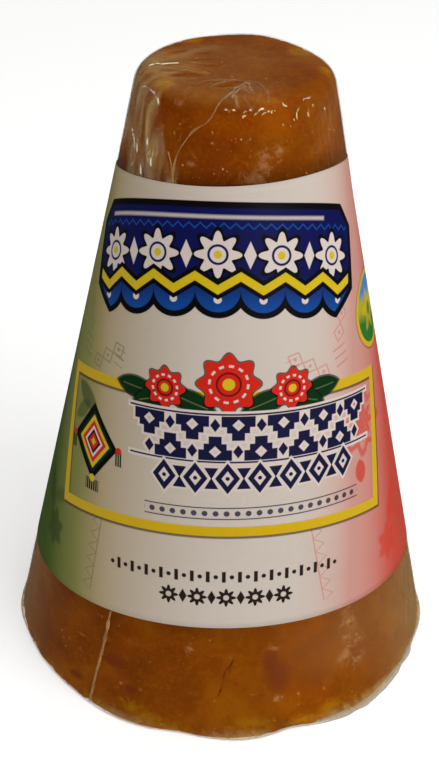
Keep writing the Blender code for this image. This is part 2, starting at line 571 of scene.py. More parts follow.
def sugar_painted_shading(form):
    """Painted light and shade, as how bright the block's colour is: darker beside the band's cut edges,
    where the band's shadow is painted, and on the front of the top's edge, lighter round the top
    and at the right of the foot, where light is painted."""
    azimuth, level = form.azimuth, form.height / MM
    upper = eased(level, *UPPER_PART)
    over = level - band_edge(azimuth, BAND_TOP) / MM
    under = band_edge(azimuth, BAND_BOTTOM) / MM - level
    dark = upper * (0.44 + 0.3 * bump(azimuth, -78, 30)) * eased(over, 2.8, 0)
    dark += (1 - upper) * 0.24 * bump(azimuth, -2, 42) * eased(under, 4.5, 0)
    dark += (1 - upper) * 0.16 * bump(azimuth, -50, 24) * eased(under, 9, 0)
    on_edge = eased(level, 90.6, 91.8)
    outer = eased(form.radius / MM, 8, 11)
    dark += 0.12 * bump(azimuth, -12, 34) * on_edge * outer
    light = 0.22 * bump(azimuth, -6, 46) * (1 - 0.8 * on_edge)
    light += 0.2 * bump(azimuth, 28, 28) + 0.17 * bump(azimuth, -57, 30)
    light = light * eased(level, 87, 89.4) * outer
    light += 0.26 * (1 - upper) * bump(azimuth, 25, 14) * (1 - form.facing_down)
    return 1 + light - dark


def sugar_block(material):
    """The cast block: the cone moved in from the film, with low lumps, grain, small pits, a crack,
    and crumbled edges at the base and the top."""
    form = Turned(
        440,
        inset=SUGAR_INSET,
        top_rows=34,
        upper_rows=50,
        hidden_rows=10,
        lower_rows=62,
        base_rows=16,
    )
    place, height, azimuth = form.place, form.height, form.azimuth
    rim = eased(height, RIM_HEIGHT, 0) * (1 - form.facing_down)
    shoulder = form.facing_up * eased(form.radius / MM, 8, 10)
    broken = np.clip(noise(place, 2.6 * MM, 5) + 0.35 * noise(place, 1.1 * MM, 6), -1, 1)
    hem = hem_folds(azimuth, height)
    out = 0.9 * shoulder_folds(azimuth, height, form.radius) + np.minimum(hem, 0.5 * hem)
    out += MM * (0.07 * noise(place, 8 * MM, 1) + 0.05 * noise(place, 3.2 * MM, 2))
    out -= 0.26 * MM * np.clip(broken + 0.1, 0, 1) * rim
    out -= 0.14 * MM * np.clip(broken, 0, 1) * shoulder
    out -= pitted(place, PIT_COUNT, 7)
    crack = line_distance(*laid_flat(azimuth, height), CRACK)
    out -= 0.22 * MM * eased(crack, 0.5, 0)
    out = np.minimum(out, film_folds(azimuth, height, form.radius) + 0.05 * MM)
    out -= 0.12 * MM * under_band(azimuth, height, 1.5 * MM)
    points = form.moved(out)
    points[..., 2] = np.maximum(points[..., 2], SUGAR_INSET_BELOW)
    top = np.zeros_like(height)
    for x, y, radius in TOP_STAINS:
        gap = np.hypot(place[..., 0] / MM - x, place[..., 1] / MM - y) / radius
        top = np.maximum(top, smooth_step(1.5 * (1 - gap)))
    fields = {
        # Painted light and shade: the band's painted shadow, and painted light round the top
        "painted_shading": sugar_painted_shading(form),
        "ochre": np.maximum(top * form.facing_up, 0.7 * rim * smooth_step(0.55 + 1.6 * broken)),
        "upper": eased(height / MM, *UPPER_PART),
        "side": 1 - np.maximum(form.facing_up, form.facing_down),
    }
    mesh = turned_mesh("sugar_block", points, fields)
    return finished("sugar_block", mesh, material)


def display(red, green, blue):
    """Linear colour from 0 to 255 display values: ((c + 0.055) / 1.055)^2.4, or c / 12.92 if dark."""
    share = np.array((red, green, blue)) / 255
    linear = np.where(share > 0.04045, ((share + 0.055) / 1.055) ** 2.4, share / 12.92)
    return (*(float(c) for c in linear), 1)


# How much of a surface's own colour the room's light gives back at the front
LIGHT_SHARE = 0.92


def seen(red, green, blue):
    """A surface colour that looks like the given display colour in the room's light."""
    return (*(min(c / LIGHT_SHARE, 0.9) for c in display(red, green, blue)[:3]), 1)


SUGAR_DARK = seen(110, 50, 1)
SUGAR_MIDDLE = seen(126, 61, 1)
SUGAR_LIGHT = seen(144, 79, 3)
SUGAR_RED = seen(116, 41, 0)
SUGAR_OCHRE = seen(160, 110, 8)
SUGAR_PALE = seen(196, 146, 96)
SUGAR_STAIN = seen(112, 48, 14)
CRACK_BROWN = (*(c * 0.35 for c in SUGAR_RED[:3]), 1)


def stained(across, up, stains):
    """How far from the middle of the nearest stain a place is: 1 on the stain's edge."""
    gaps = [
        length((across - middle) / half_width, (up - level) / half_height)
        for middle, level, half_width, half_height in stains
    ]
    return functools.reduce(Field.min, gaps)


def off_line(across, up, points):
    """About the distance from a broken line: past the end or off the side of its nearest stretch,
    whichever is more."""
    gaps = []
    for (x0, y0), (x1, y1) in zip(points, points[1:]):
        heading = math.degrees(math.atan2(y1 - y0, x1 - x0))
        p, q = rotated(across - (x0 + x1) / 2, up - (y0 + y1) / 2, heading)
        half = math.hypot(x1 - x0, y1 - y0) / 2
        gaps.append((abs(p) - half).max(0.0).max(abs(q)))
    return functools.reduce(Field.min, gaps)


def sugar_material():
    """Amber brown, softly clouded and finely grained, redder in the upper part, with dark, pale and
    ochre stains whose edges the clouds break up, a crack, pale specks, and a damp, uneven gloss.
    The mesh's painted light and shade brightens and darkens it."""
    material, tree, shader = new_material("cast_brown_sugar")
    place = object_place(tree)
    x, y, z = parts(tree, place)
    turn = x.math("ARCTAN2", y * -1) * math.sin(HALF_ANGLE)
    slant = z * (-1 / MM / math.cos(HALF_ANGLE)) + APEX_SLANT / MM
    across, up = flat_place(turn, slant, 0)
    side = read(tree, "side")

    drift = noise_field(tree, place, 9 * MM, 4, 0.55, 0.3)
    colour = ramp(tree, drift, ((0.3, SUGAR_DARK), (0.5, SUGAR_MIDDLE), (0.72, SUGAR_LIGHT)))
    red = read(tree, "upper") * (x * (-0.09 / MM) + 0.75).clamped() * (side * 0.85 + 0.15)
    colour = blended(tree, red * (drift * -2 + 1.75).clamped(), colour, SUGAR_RED)
    grain = noise_field(tree, place, 0.5 * MM, 4, 0.75)
    cloud = noise_field(tree, place, 1.3 * MM, 5, 0.72, 0.4)
    flecks = noise_field(tree, place, 0.7 * MM, 4, 0.8, 0.3)
    for share, shade in (
        ((grain - 0.53) * 3.2, SUGAR_LIGHT),
        ((0.47 - grain) * 3.2, SUGAR_DARK),
        ((cloud - 0.55) * 3.6, SUGAR_LIGHT),
        ((0.44 - cloud) * 3.0, SUGAR_DARK),
    ):
        colour = blended(tree, share.clamped(), colour, shade)

    broken = (cloud + flecks) * 0.5 - 0.5
    for stains, ease, bite, most, stain in (
        (OCHRE_STAINS, 1.1, 3.8, 0.62, SUGAR_OCHRE),
        (PALE_STAINS, 0.8, 5.2, 0.46, SUGAR_PALE),
        (DARK_STAINS, 2.0, 1.6, 0.92, SUGAR_STAIN),
    ):
        share = stained(across, up, stains) * -ease + broken * bite + ease - 0.1
        colour = blended(tree, share.clamped() * side * most, colour, stain)
    ochre = read(tree, "ochre") * ((cloud + flecks) * 2.2 - 1.45).clamped()
    colour = blended(tree, ochre * 0.9, colour, SUGAR_OCHRE)
    crack = (0.10 + (cloud - 0.5) * 1.1 - off_line(across, up, CRACK)) * 7
    crack = crack.clamped() * side
    colour = blended(tree, crack * 0.75, colour, CRACK_BROWN)
    cells = tree.nodes.new("ShaderNodeTexVoronoi")
    fill(cells, {"Vector": place, "Scale": 1 / (2.4 * MM)})
    speck = (0.09 + (cloud - 0.5) * 0.3 - Field(tree, cells.outputs["Distance"])) * 12
    colour = blended(tree, speck.clamped() * 0.65, colour, SUGAR_PALE)
    # Painted light and shade from the mesh, multiplied into the colour
    colour = blended(tree, 1.0, colour, read(tree, "painted_shading"), "MULTIPLY")
    fill(shader, {"Base Color": colour, "Roughness": (grain * 0.5 + 0.22).clamped()})
    fill(shader, {"Specular IOR Level": 0.01, "Subsurface Weight": 0.25})
    fill(shader, {"Subsurface Radius": (3.0, 1.0, 0.3), "Subsurface Scale": 1 * MM})
    embossed(tree, shader, grain + cloud * 0.8 - crack, 0.4, 0.2 * MM)
    return material


def grain_material(name, low, high, roughness):
    """Loose grains, each its own shade between two colours."""
    material, tree, shader = new_material(name)
    colour = ramp(tree, read(tree, "tint"), ((0, low), (1, high)))
    clump = noise_field(tree, object_place(tree), 0.3 * MM, 2)
    colour = blended(tree, clump * 0.4, colour, SUGAR_MIDDLE)
    gloss = (clump * 0.4 + roughness).clamped()
    fill(shader, {"Base Color": colour, "Roughness": gloss, "Specular IOR Level": 0.2})
    return material


def over_top(x, y, out=0.0):
    """A point of the flat top or of its rounded edge, out from it along its normal."""
    radius = np.hypot(x, y)
    flat_radius = side_radius(HEIGHT - TOP_EDGE_ROUND) - TOP_EDGE_ROUND / math.cos(HALF_ANGLE)
    sine = np.clip((radius - flat_radius) / TOP_EDGE_ROUND, 0, 0.97)
    cosine = np.sqrt(1 - sine**2)
    spread = 1 + out * sine / np.maximum(radius, MM)
    up = HEIGHT - TOP_EDGE_ROUND * (1 - cosine) + out * cosine
    return np.stack([x * spread, y * spread, up + 0 * radius], -1)


def on_side(azimuth, height, out=0.0):
    """A point of the slant side, out from it along its normal. Azimuth is in degrees."""
    radius = side_radius(height) + out * math.cos(HALF_ANGLE)
    up = height + out * math.sin(HALF_ANGLE)
    return polar(np.radians(azimuth), radius, up + 0 * radius)


def sugar_crumbs():
    """Crumbs of the chipped rim, caught between the block and the film all round the base."""
    rng = np.random.default_rng(11)
    count = 420
    azimuth = rng.uniform(-180, 180, count)
    height = (0.35 + 2.6 * rng.uniform(0, 1, count) ** 2) * MM
    folds = film_folds(np.radians(azimuth), height)
    centres = on_side(azimuth, height, folds - rng.uniform(0.2, 0.42, count) * MM)
    sizes = rng.uniform(0.10, 0.26, count) * MM
    mesh = grains("sugar_crumbs", centres, sizes, 0.8, 12)
    material = grain_material("loose_sugar_crumb", seen(126, 70, 8), seen(160, 112, 24), 0.35)
    return finished("sugar_crumbs", mesh, material)


def sugar_crystals():
    """Pale crystals that sit in the block's skin wherever it shows."""
    rng = np.random.default_rng(21)
    low = rng.uniform(1.5, 20, 520)
    high = rng.uniform(72, 91, 620)
    height = np.concatenate([low, high]) * MM
    azimuth = rng.uniform(-180, 180, len(height))
    centres = on_side(azimuth, height, film_folds(np.radians(azimuth), height) * 0.85 - SUGAR_INSET)
    sizes = (0.05 + 0.13 * rng.uniform(0, 1, len(height)) ** 3) * MM
    mesh = grains("sugar_crystals", centres, sizes, 0.6, 22)
    material = grain_material("pale_sugar_crystal", seen(140, 84, 24), seen(186, 140, 92), 0.2)
    return finished("sugar_crystals", mesh, material)


# ---- Film --------------------------------------------------------------------------------------

# Small raised puckers of the film on the front of the top edge and on the side under it, each
# painted white along its crest as a glint: (azimuth, height in millimetres, half length in
# millimetres, lean in degrees from upright)
PUCKERS = (
    (-4.9, 91.6, 0.26, 84),
    (-0.5, 91.6, 0.24, 88),
    (5.6, 91.4, 0.32, 62),
    (8.5, 91.6, 0.20, 70),
    (5.0, 90.9, 0.36, 60),
    (11.4, 91.1, 0.26, 50),
    (14.4, 91.6, 0.55, 66),
    (16.0, 91.1, 0.42, 64),
    (18.9, 91.3, 0.16, 80),
    (20.7, 91.2, 0.20, 15),
    (22.6, 91.3, 0.14, 60),
    (29.0, 91.7, 0.42, -52),
    (36.2, 90.5, 0.85, 22),
    (34.6, 89.9, 0.30, 60),
    (43.9, 90.0, 0.55, 4),
    (48.3, 90.9, 0.18, 40),
    (32.4, 89.2, 0.30, 72),
    (26.9, 89.4, 0.12, 20),
    (8.9, 87.9, 0.34, -45),
    (3.7, 87.9, 0.20, -20),
    (-20.9, 87.6, 0.22, 78),
    (-11.5, 88.8, 0.24, 10),
    (-33.0, 87.8, 0.22, 0),
    (-5.0, 84.2, 0.16, 40),
    (58.0, 89.8, 0.30, 5),
)
# Round ones, painted white round the crest as a glint: (azimuth, height, half width, half height)
RINGS = ((-42.1, 87.1, 0.4, 0.5),)
# Raised creases on the loose film to the left, painted white as glints: (azimuth, height) lines
LEFT_CREASES = (
    ((-67.1, 85.7), (-63.5, 85.3), (-61.3, 84.9), (-59.4, 83.7)),
    ((-59.1, 85.0), (-56.6, 84.4)),
    ((-58.0, 84.4), (-57.1, 83.5)),
    ((-49.6, 85.8), (-48.9, 85.0)),
    ((-52.2, 82.0), (-51.1, 80.9)),
    ((-45.3, 83.6), (-44.5, 82.6)),
    ((-47.4, 91.2), (-46.1, 90.6)),
)
# Streaks over the top: (x, y) lines in millimetres, the half width, and the milk each adds or takes;
# the milk a streak adds is milky film and painted highlight along its crease both
TOP_STREAKS = (
    (((-8.3, -4.5), (-6.4, -3.3), (-3.7, -4.2)), 0.17, 0.15),
    (((-8.5, -6.5), (-6.3, -6.4), (-5.1, -6.1)), 0.17, 0.12),
    (((-5.8, -9.3), (-3.5, -6.8), (-0.3, -6.2), (1.9, -6.7)), 0.20, 0.14),
    (((-3.2, -9.1), (-2.1, -7.5), (-0.3, -6.4)), 0.18, 0.12),
    (((-2.4, -9.4), (-0.8, -9.3), (0.6, -8.7)), 0.18, 0.12),
    (((-11.4, -1.1), (-7.1, 2.6), (-4.9, 4.9), (-3.1, 6.0)), 0.90, 0.09),
    (((-11.0, -3.2), (-8.6, -2.6), (-6.4, -2.4)), 0.60, 0.06),
    (((-6.4, -0.6), (-3.0, -0.5)), 0.20, 0.07),
    (((-7.9, -5.4), (-6.4, -4.9), (-4.8, -4.9)), 0.36, -0.16),
    (((-5.5, -8.9), (-3.2, -7.0)), 0.30, -0.15),
    (((-1.9, -8.8), (-0.2, -7.7), (1.4, -7.1)), 0.50, -0.16),
    (((-6.1, 0.6), (-3.4, 1.1)), 0.24, -0.12),
    (((-5.3, 3.2), (-3.7, 3.5)), 0.24, -0.10),
    (((-4.8, -1.7), (-2.2, -1.3)), 0.24, -0.10),
    (((-8.8, 3.3), (-6.9, 4.2)), 0.45, -0.10),
    (((-9.6, 5.2), (-7.2, 7.4), (-4.0, 9.6)), 1.00, -0.10),
)
# Raised dashes over the top, painted white as glints: (x, y) lines in millimetres
TOP_GLINT_DASHES = (
    ((-11.3, -2.0), (-10.9, -1.8)),
    ((-10.5, -1.5), (-10.2, -1.5)),
    ((-9.8, -1.7), (-8.6, -1.3), (-7.7, -1.1)),
)
# White threads in the film, whitened film and painted highlight both, run where noise of a size in
# millimetres crosses a level
FILM_THREADS = ((1.5, 0.5), (0.9, 0.46), (0.9, 0.56))
# The threads' white, partly painted highlight, and the colours of the painted glints on the crests:
# warm where the film is clear, whiter where it is milky
THREAD_WHITE = display(255, 246, 232)
CLEAR_PAINTED_GLINT = display(255, 222, 148)
MILKY_PAINTED_GLINT = display(255, 242, 222)


def crest(turns):
    """Narrow ridges with flat ground between: (1 - |sin|)^2."""
    return (1 - np.abs(np.sin(turns))) ** 2


def top_creases(form, drift):
    """The top's streaks, its dashes, and a faint fan of creases from the gather to the left: how far
    they stand up in millimetres, how milky they are, milky film and painted highlight both, and the
    painted glints along the dashes."""
    x, y, top = form.place[..., 0] / MM, form.place[..., 1] / MM, form.facing_up
    across, away = x - GATHER[0] / MM, y - GATHER[1] / MM
    reach = np.hypot(across, away)
    heading = np.degrees(np.arctan2(away, -across))
    fan = eased(heading, -12, -2) * eased(heading, 66, 36)
    fan = fan * eased(reach, 0.8, 2.8) * eased(reach, 14.5, 9.5)
    fingers = crest(np.radians(heading) * 23 + 3.4 * drift + reach / 9)
    fingers = fingers * smooth_step(0.5 + 1.6 * noise(form.place, 3.5 * MM, 36))
    streaks = sum(
        milk * np.exp(-((line_distance(x, y, points) / half_width) ** 2))
        for points, half_width, milk in TOP_STREAKS
    )
    dashes = np.minimum.reduce([line_distance(x, y, points) for points in TOP_GLINT_DASHES])
    out = 0.05 * fan * fingers + 0.3 * streaks.clip(-0.1, 0.3) + 0.12 * eased(dashes, 0.4, 0)
    milky = eased(x, 8.5, 1.5) * eased(y, 10.5, 3.5) * (0.8 + 0.4 * drift)
    haze = 0.014 + 0.06 * milky + 0.06 * eased(x, -3, -9)
    haze = haze + 0.26 * fan * fingers**2 + 1.35 * streaks
    # The third is the painted glint along the dashes.
    return out * top, haze * top, 1.2 * top * np.exp(-((dashes / 0.19) ** 2))


def side_creases(form, drift, fine):
    """The film's folds over the band, loose on the left, finer on the right and at the back: how far
    they stand up in millimetres, how milky they are, less milky in the left corner just above the
    band as painted shade, and how far white lines, partly painted highlight, run down them."""
    azimuth, up, top = form.azimuth, form.height / MM, form.facing_up
    degrees, y = np.degrees(azimuth), form.place[..., 1] / MM
    raised = eased(up, 71, 74) * eased(up, 93, 90)
    left_edge = -44.6 + 1.6 * (91.5 - up) + 2.6 * drift
    left = smooth_step((left_edge - degrees) / 4) * eased(degrees, -128, -94) * eased(up, 71, 74)
    pleats = crest(azimuth * 15 + 3.4 * drift) + 0.7 * crest(azimuth * 27 + 4.6 * drift + 1)
    out = (0.05 + 0.13 * eased(degrees, -80, -66)) * left * raised * pleats
    right = bump(azimuth, 66, 34) * raised
    fine_pleats = crest(azimuth * 46 + 2.5 * drift)
    back = bump(azimuth, 176, 66) * raised
    out += 0.05 * right * fine_pleats + 0.14 * back * crest(azimuth * 21 + 3.6 * drift)

    # Less milk in the far left corner just above the band lets the dark sugar show: painted shade.
    dim = 1 - 0.85 * eased(degrees, -64, -69) * eased(up, 84, 81)
    soft = noise(form.place * np.array([1, 1, 0.13]), 1.1 * MM, 38)
    milk = (0.29 - 0.14 * eased(up, 87, 81)) * (1 + 0.9 * soft + 0.9 * (pleats.clip(0, 1) - 0.4))
    over_edge = top * eased(form.radius / MM, 8, 11.5) * eased(y, -7.5, -4.5)
    haze = (1 - top + 0.55 * over_edge) * left * milk * dim
    haze = haze + (1 - top) * (right * (0.01 + 0.08 * fine_pleats) + 0.10 * back)
    strap = np.radians(degrees + 30.9 + 2.2 * drift) * side_radius(82 * MM) / (0.5 * MM)
    strap = np.exp(-(strap**4)) * eased(up, 83.9, 82.9) * eased(up, 78, 79)
    haze = haze + 0.26 * strap * smooth_step(0.9 + fine)
    lines = 0.6 * left * raised * (0.4 + 0.6 * eased(up, 88, 83)) * dim
    return out, haze, np.maximum(lines, 0.42 * right + 0.5 * back)


def foot_creases(form, drift, fine):
    """The film under the band, looser and cloudier at both sides, and its skirt along the base: the
    same three as side_creases gives."""
    azimuth, up = form.azimuth, form.height / MM
    low = eased(up, 14, 6)
    loose = low * (bump(azimuth, 74, 44) + bump(azimuth, -84, 44) + 0.7 * bump(azimuth, 176, 70))
    soft = noise(form.place * np.array([1, 1, 0.13]), 1.1 * MM, 38)
    worn = bump(azimuth, 118, 52) * (0.5 + 0.6 * drift + 0.45 * soft)
    cloudy = 0.34 * bump(azimuth, 89, 52) * (1 - worn.clip(0, 0.9))
    cloudy += 0.08 * eased(up, 5, 11) * bump(azimuth, 38, 30) * (0.8 + 0.6 * drift)
    cloudy += 0.20 * bump(azimuth, -88, 40)
    haze = eased(up, 22, 14) * cloudy + 0.06 * low * bump(azimuth, 176, 66)
    skirt = smooth_step((1.5 + 0.5 * fine) - up / 1.1) * (1 - form.facing_down)
    haze = haze + skirt * (0.03 + 0.40 * eased(hem_folds(azimuth, 0 * up) / MM, 0, 0.6))
    return 0.05 * loose * crest(azimuth * 15 + 4 * drift), haze, 0.14 * loose


def pucker_ridge_painted_glints(form, fine):
    """The crests of the puckers, the rings and the short creases, painted white as glints: how white,
    which also sets how far they stand up. A pucker is a bent oval: its crest falls by the fourth
    power along it and by the second across it."""
    azimuth, degrees, up = form.azimuth, np.degrees(form.azimuth), form.height / MM
    ridge_painted_glint = 0 * up
    for number, (middle, level, half_length, lean) in enumerate(PUCKERS):
        along = np.radians(degrees - middle) * side_radius(level * MM) / MM
        bright = (0.95 if level > 89.5 else 0.7) + 0.1 * math.sin(2.4 * number)
        p, q = rotated(up - level, along, lean)
        bend = q - 0.4 * p * p / half_length
        ridge_painted_glint = np.maximum(ridge_painted_glint, bright * np.exp(-((p / half_length) ** 4) - (bend / 0.1) ** 2))
    ridge_painted_glint = ridge_painted_glint * (1.15 + 0.5 * fine)
    for middle, level, half_width, half_height in RINGS:
        along = np.radians(degrees - middle) * side_radius(level * MM) / MM
        gap = (np.hypot(along / half_width, (up - level) / half_height) - 1) * half_height
        ridge_painted_glint = np.maximum(ridge_painted_glint, (0.6 + 0.7 * fine) * np.exp(-((gap / 0.11) ** 2)))
    girth = side_radius(84 * MM) / MM
    for points in LEFT_CREASES:
        points = [(math.radians(a) * girth, level) for a, level in points]
        gap = line_distance(azimuth * girth, up, points)
        ridge_painted_glint = np.maximum(ridge_painted_glint, (0.95 + 0.9 * fine) * np.exp(-((gap / 0.13) ** 2)))
    return ridge_painted_glint


def film_creases(form):
    """How far the film's creases stand up, how milky its folds make it, how far fine white lines,
    partly painted highlight, run down it, and the painted glints on the crests of its puckers: (out,
    haze, lines, ridge)."""
    place, up = form.place, form.height / MM
    drift = noise(place * np.array([1, 1, 0.35]), 5 * MM, 31)
    fine = noise(place * np.array([1, 1, 0.6]), 0.9 * MM, 37)
    top_out, top_haze, dashes = top_creases(form, drift)
    side_out, side_haze, side_lines = side_creases(form, drift, fine)
    foot_out, foot_haze, foot_lines = foot_creases(form, drift, fine)
    ridge_painted_glint = pucker_ridge_painted_glints(form, fine)
    crumpled_edge = eased(up, 89.2, 90.2) * eased(up, 92.9, 92.4) * bump(form.azimuth, 20, 62)
    out = top_out + side_out + foot_out + 0.035 * crumpled_edge * fine + 0.10 * ridge_painted_glint
    out = MM * (out + 0.022 * noise(place, 3.2 * MM, 33))
    haze = (0.002 + top_haze + side_haze + foot_haze).clip(0.002, 0.85)
    return out, haze, (side_lines + foot_lines).clip(0, 1), np.maximum(ridge_painted_glint, dashes).clip(0, 1)


def clear_film(material):
    """The film itself: one closed skin round the cone, drawn over the block, with its creases."""
    form = Turned(
        560,
        inset=0.0,
        top_rows=48,
        upper_rows=54,
        hidden_rows=6,
        lower_rows=32,
        base_rows=4,
        edge_rows=28,
    )
    creases, haze, lines, ridge_painted_glint = film_creases(form)
    shown = 1 - form.facing_down
    out = film_folds(form.azimuth, form.height, form.radius) + creases * shown
    flat = under_band(form.azimuth, form.height, MM, reach=MM)
    out -= creases * shown * flat + 0.1 * MM * under_band(form.azimuth, form.height, 0.8 * MM)
    points = form.moved(out)
    points[..., 2] = np.maximum(points[..., 2], 0)
    # The mesh carries the crests' painted glints, and white lines that are partly painted highlight
    mesh = turned_mesh("clear_film", points, {"haze": haze, "lines": lines, "ridge_painted_glint": ridge_painted_glint})
    return finished("clear_film", mesh, material)


def film_material(name, milk, gloss_roughness):
    """Thin clear film: see-through, milky by the mesh's haze, crossed by fine white upright lines
    where the mesh says so, whitened film and painted highlight both, and painted white on its crests
    as glints, warmer where it is clearer. It is glossy by the fourth power of one less the facing's
    cosine, which is the same from inside and out."""
    material, tree, shader = new_material(name)
    tree.nodes.remove(shader)
    place = object_place(tree, scale=(1, 1, 0.16))
    streaks = noise_field(tree, place, 1.1 * MM, 4, 0.6)
    broken = noise_field(tree, object_place(tree, scale=(1, 1, 0.4)), 1.6 * MM, 3, 0.6)
    threads = [
        (1 - abs(noise_field(tree, place, size * MM, 2, 0.5, 0.8) - level) * 30).clamped()
        for size, level in FILM_THREADS
    ]
    thread = functools.reduce(Field.max, threads)
    thread = thread * ((broken - 0.44) * 6).clamped() * read(tree, "lines")
    haze = read(tree, "haze")
    # The crests' painted glints: a pale diffuse colour laid over the film
    ridge_painted_glint = (read(tree, "ridge_painted_glint") * 1.7 - 0.35).clamped()
    clear = tree.nodes.new("ShaderNodeBsdfTransparent")
    milky = tree.nodes.new("ShaderNodeBsdfDiffuse")
    white = blended(tree, thread, milk, THREAD_WHITE)
    glint = blended(tree, (haze * 8).clamped(), CLEAR_PAINTED_GLINT, MILKY_PAINTED_GLINT)
    feed(milky.inputs["Color"], blended(tree, ridge_painted_glint, white, glint))
    milkiness = haze * (streaks * 1.4 + 0.3) + thread * thread * 0.75
    veil = over_shader(tree, milkiness.max(ridge_painted_glint * 0.95).clamped(), clear, milky)
    shine = tree.nodes.new("ShaderNodeBsdfGlossy")
    fill(shine, {"Roughness": gloss_roughness, "Color": (1, 1, 1, 1)})
    facing = tree.nodes.new("ShaderNodeLayerWeight")
    feed(facing.inputs["Blend"], 0.5)
    glance = Field(tree, facing.outputs["Facing"]).math("POWER", 4)
    gloss = (glance * 0.45 + 0.012) * (haze * 400).clamped()
    skin = over_shader(tree, gloss.clamped(), veil, shine)
    embossed(tree, shine, streaks + thread * 0.3, 0.15, 0.2 * MM)
    feed(tree.nodes["Material Output"].inputs["Surface"], skin.outputs[0])
    return material


def smoothed(points, count):
    """A smooth path of count points through the given ones: a Catmull-Rom curve, evenly spaced."""
    points = np.asarray(points, float)
    ends = np.concatenate([[2 * points[0] - points[1]], points, [2 * points[-1] - points[-2]]])
    t = np.linspace(0, 1, 24, endpoint=False)[:, None]
    a, b, c, d = (ends[k : len(ends) - 3 + k, None] for k in range(4))
    curve = 0.5 * (
        2 * b + (c - a) * t + (2 * a - 5 * b + 4 * c - d) * t**2 + (3 * b - a - 3 * c + d) * t**3
    )
    curve = np.concatenate([curve.reshape(-1, 3), points[-1:]])
    gone = np.concatenate([[0], np.cumsum(np.linalg.norm(np.diff(curve, axis=0), axis=1))])
    even = np.linspace(0, gone[-1], count)
    return np.stack([np.interp(even, gone, curve[:, k]) for k in range(3)], -1)


def ribbon_mesh(name, path, normals, half_widths, half_height, haze):
    """A low rounded strip carried along a path: an oval section of the given half sizes, the wide
    way across the path and along the surface, its ends drawn to a point and closed."""
    tangent = np.gradient(path, axis=0)
    tangent /= np.linalg.norm(tangent, axis=1, keepdims=True)
    sideways = np.cross(tangent, normals)
    sideways /= np.linalg.norm(sideways, axis=1, keepdims=True)
    lift = np.cross(sideways, tangent)
    corner = np.linspace(0, math.tau, 10, endpoint=False)
    wide = np.cos(corner)[None, :, None] * half_widths[:, None, None] * sideways[:, None]
    tall = np.sin(corner)[None, :, None] * half_height * lift[:, None]
    taper = np.ones(len(path))
    taper[[0, -1]] = 0
    points = path[:, None] + (wide + tall) * taper[:, None, None]
    grid = np.repeat(np.asarray(haze)[:, None], len(corner), axis=1)
    mesh = turned_mesh(name, points, {"haze": grid})
    volume = np.linalg.det(
        np.array([[mesh.vertices[k].co for k in p.vertices[:3]] for p in mesh.polygons])
        - path.mean(0)
    ).sum()
    if volume < 0:
        mesh.flip_normals()
    return mesh


def joined(name, meshes):
    """One mesh out of several, with their haze."""
    points, faces, haze = [], [], []
    for mesh in meshes:
        start = len(points)
        points += [tuple(vertex.co) for vertex in mesh.vertices]
        faces += [[start + corner for corner in face.vertices] for face in mesh.polygons]
        haze += [value.value for value in mesh.attributes["haze"].data]
        bpy.data.meshes.remove(mesh)
    return new_mesh(name, points, faces, {"haze": haze})


# The seal's line: (azimuth, height in millimetres) up the side, then (x, y) on the top
SEAL_SIDE = (
    (-37.0, 0.3),
    (-36.6, 2.0),
    (-35.9, 5.9),
    (-34.9, 10.4),
    (-33.9, 16.9),
    (-32.6, 34.0),
    (-31.4, 58.0),
    (-30.6, 80.0),
    (-30.5, 84.0),
    (-28.2, 86.0),
    (-22.3, 88.4),
    (-13.9, 90.1),
)
SEAL_TUCK = ((-35.3, 85.2), (-33.7, 84.5), (-32.2, 83.6), (-31.0, 82.4))
SEAL_TOP = ((-2.1, -12.7), (-1.4, -12.0), (-0.6, -11.2), (0.0, -9.9), (0.4, -8.9), (1.2, -7.8))
SEAL_HALF_HEIGHT = 0.08 * MM
SEAL_STEPS = 420
TUCK_STEPS = 40


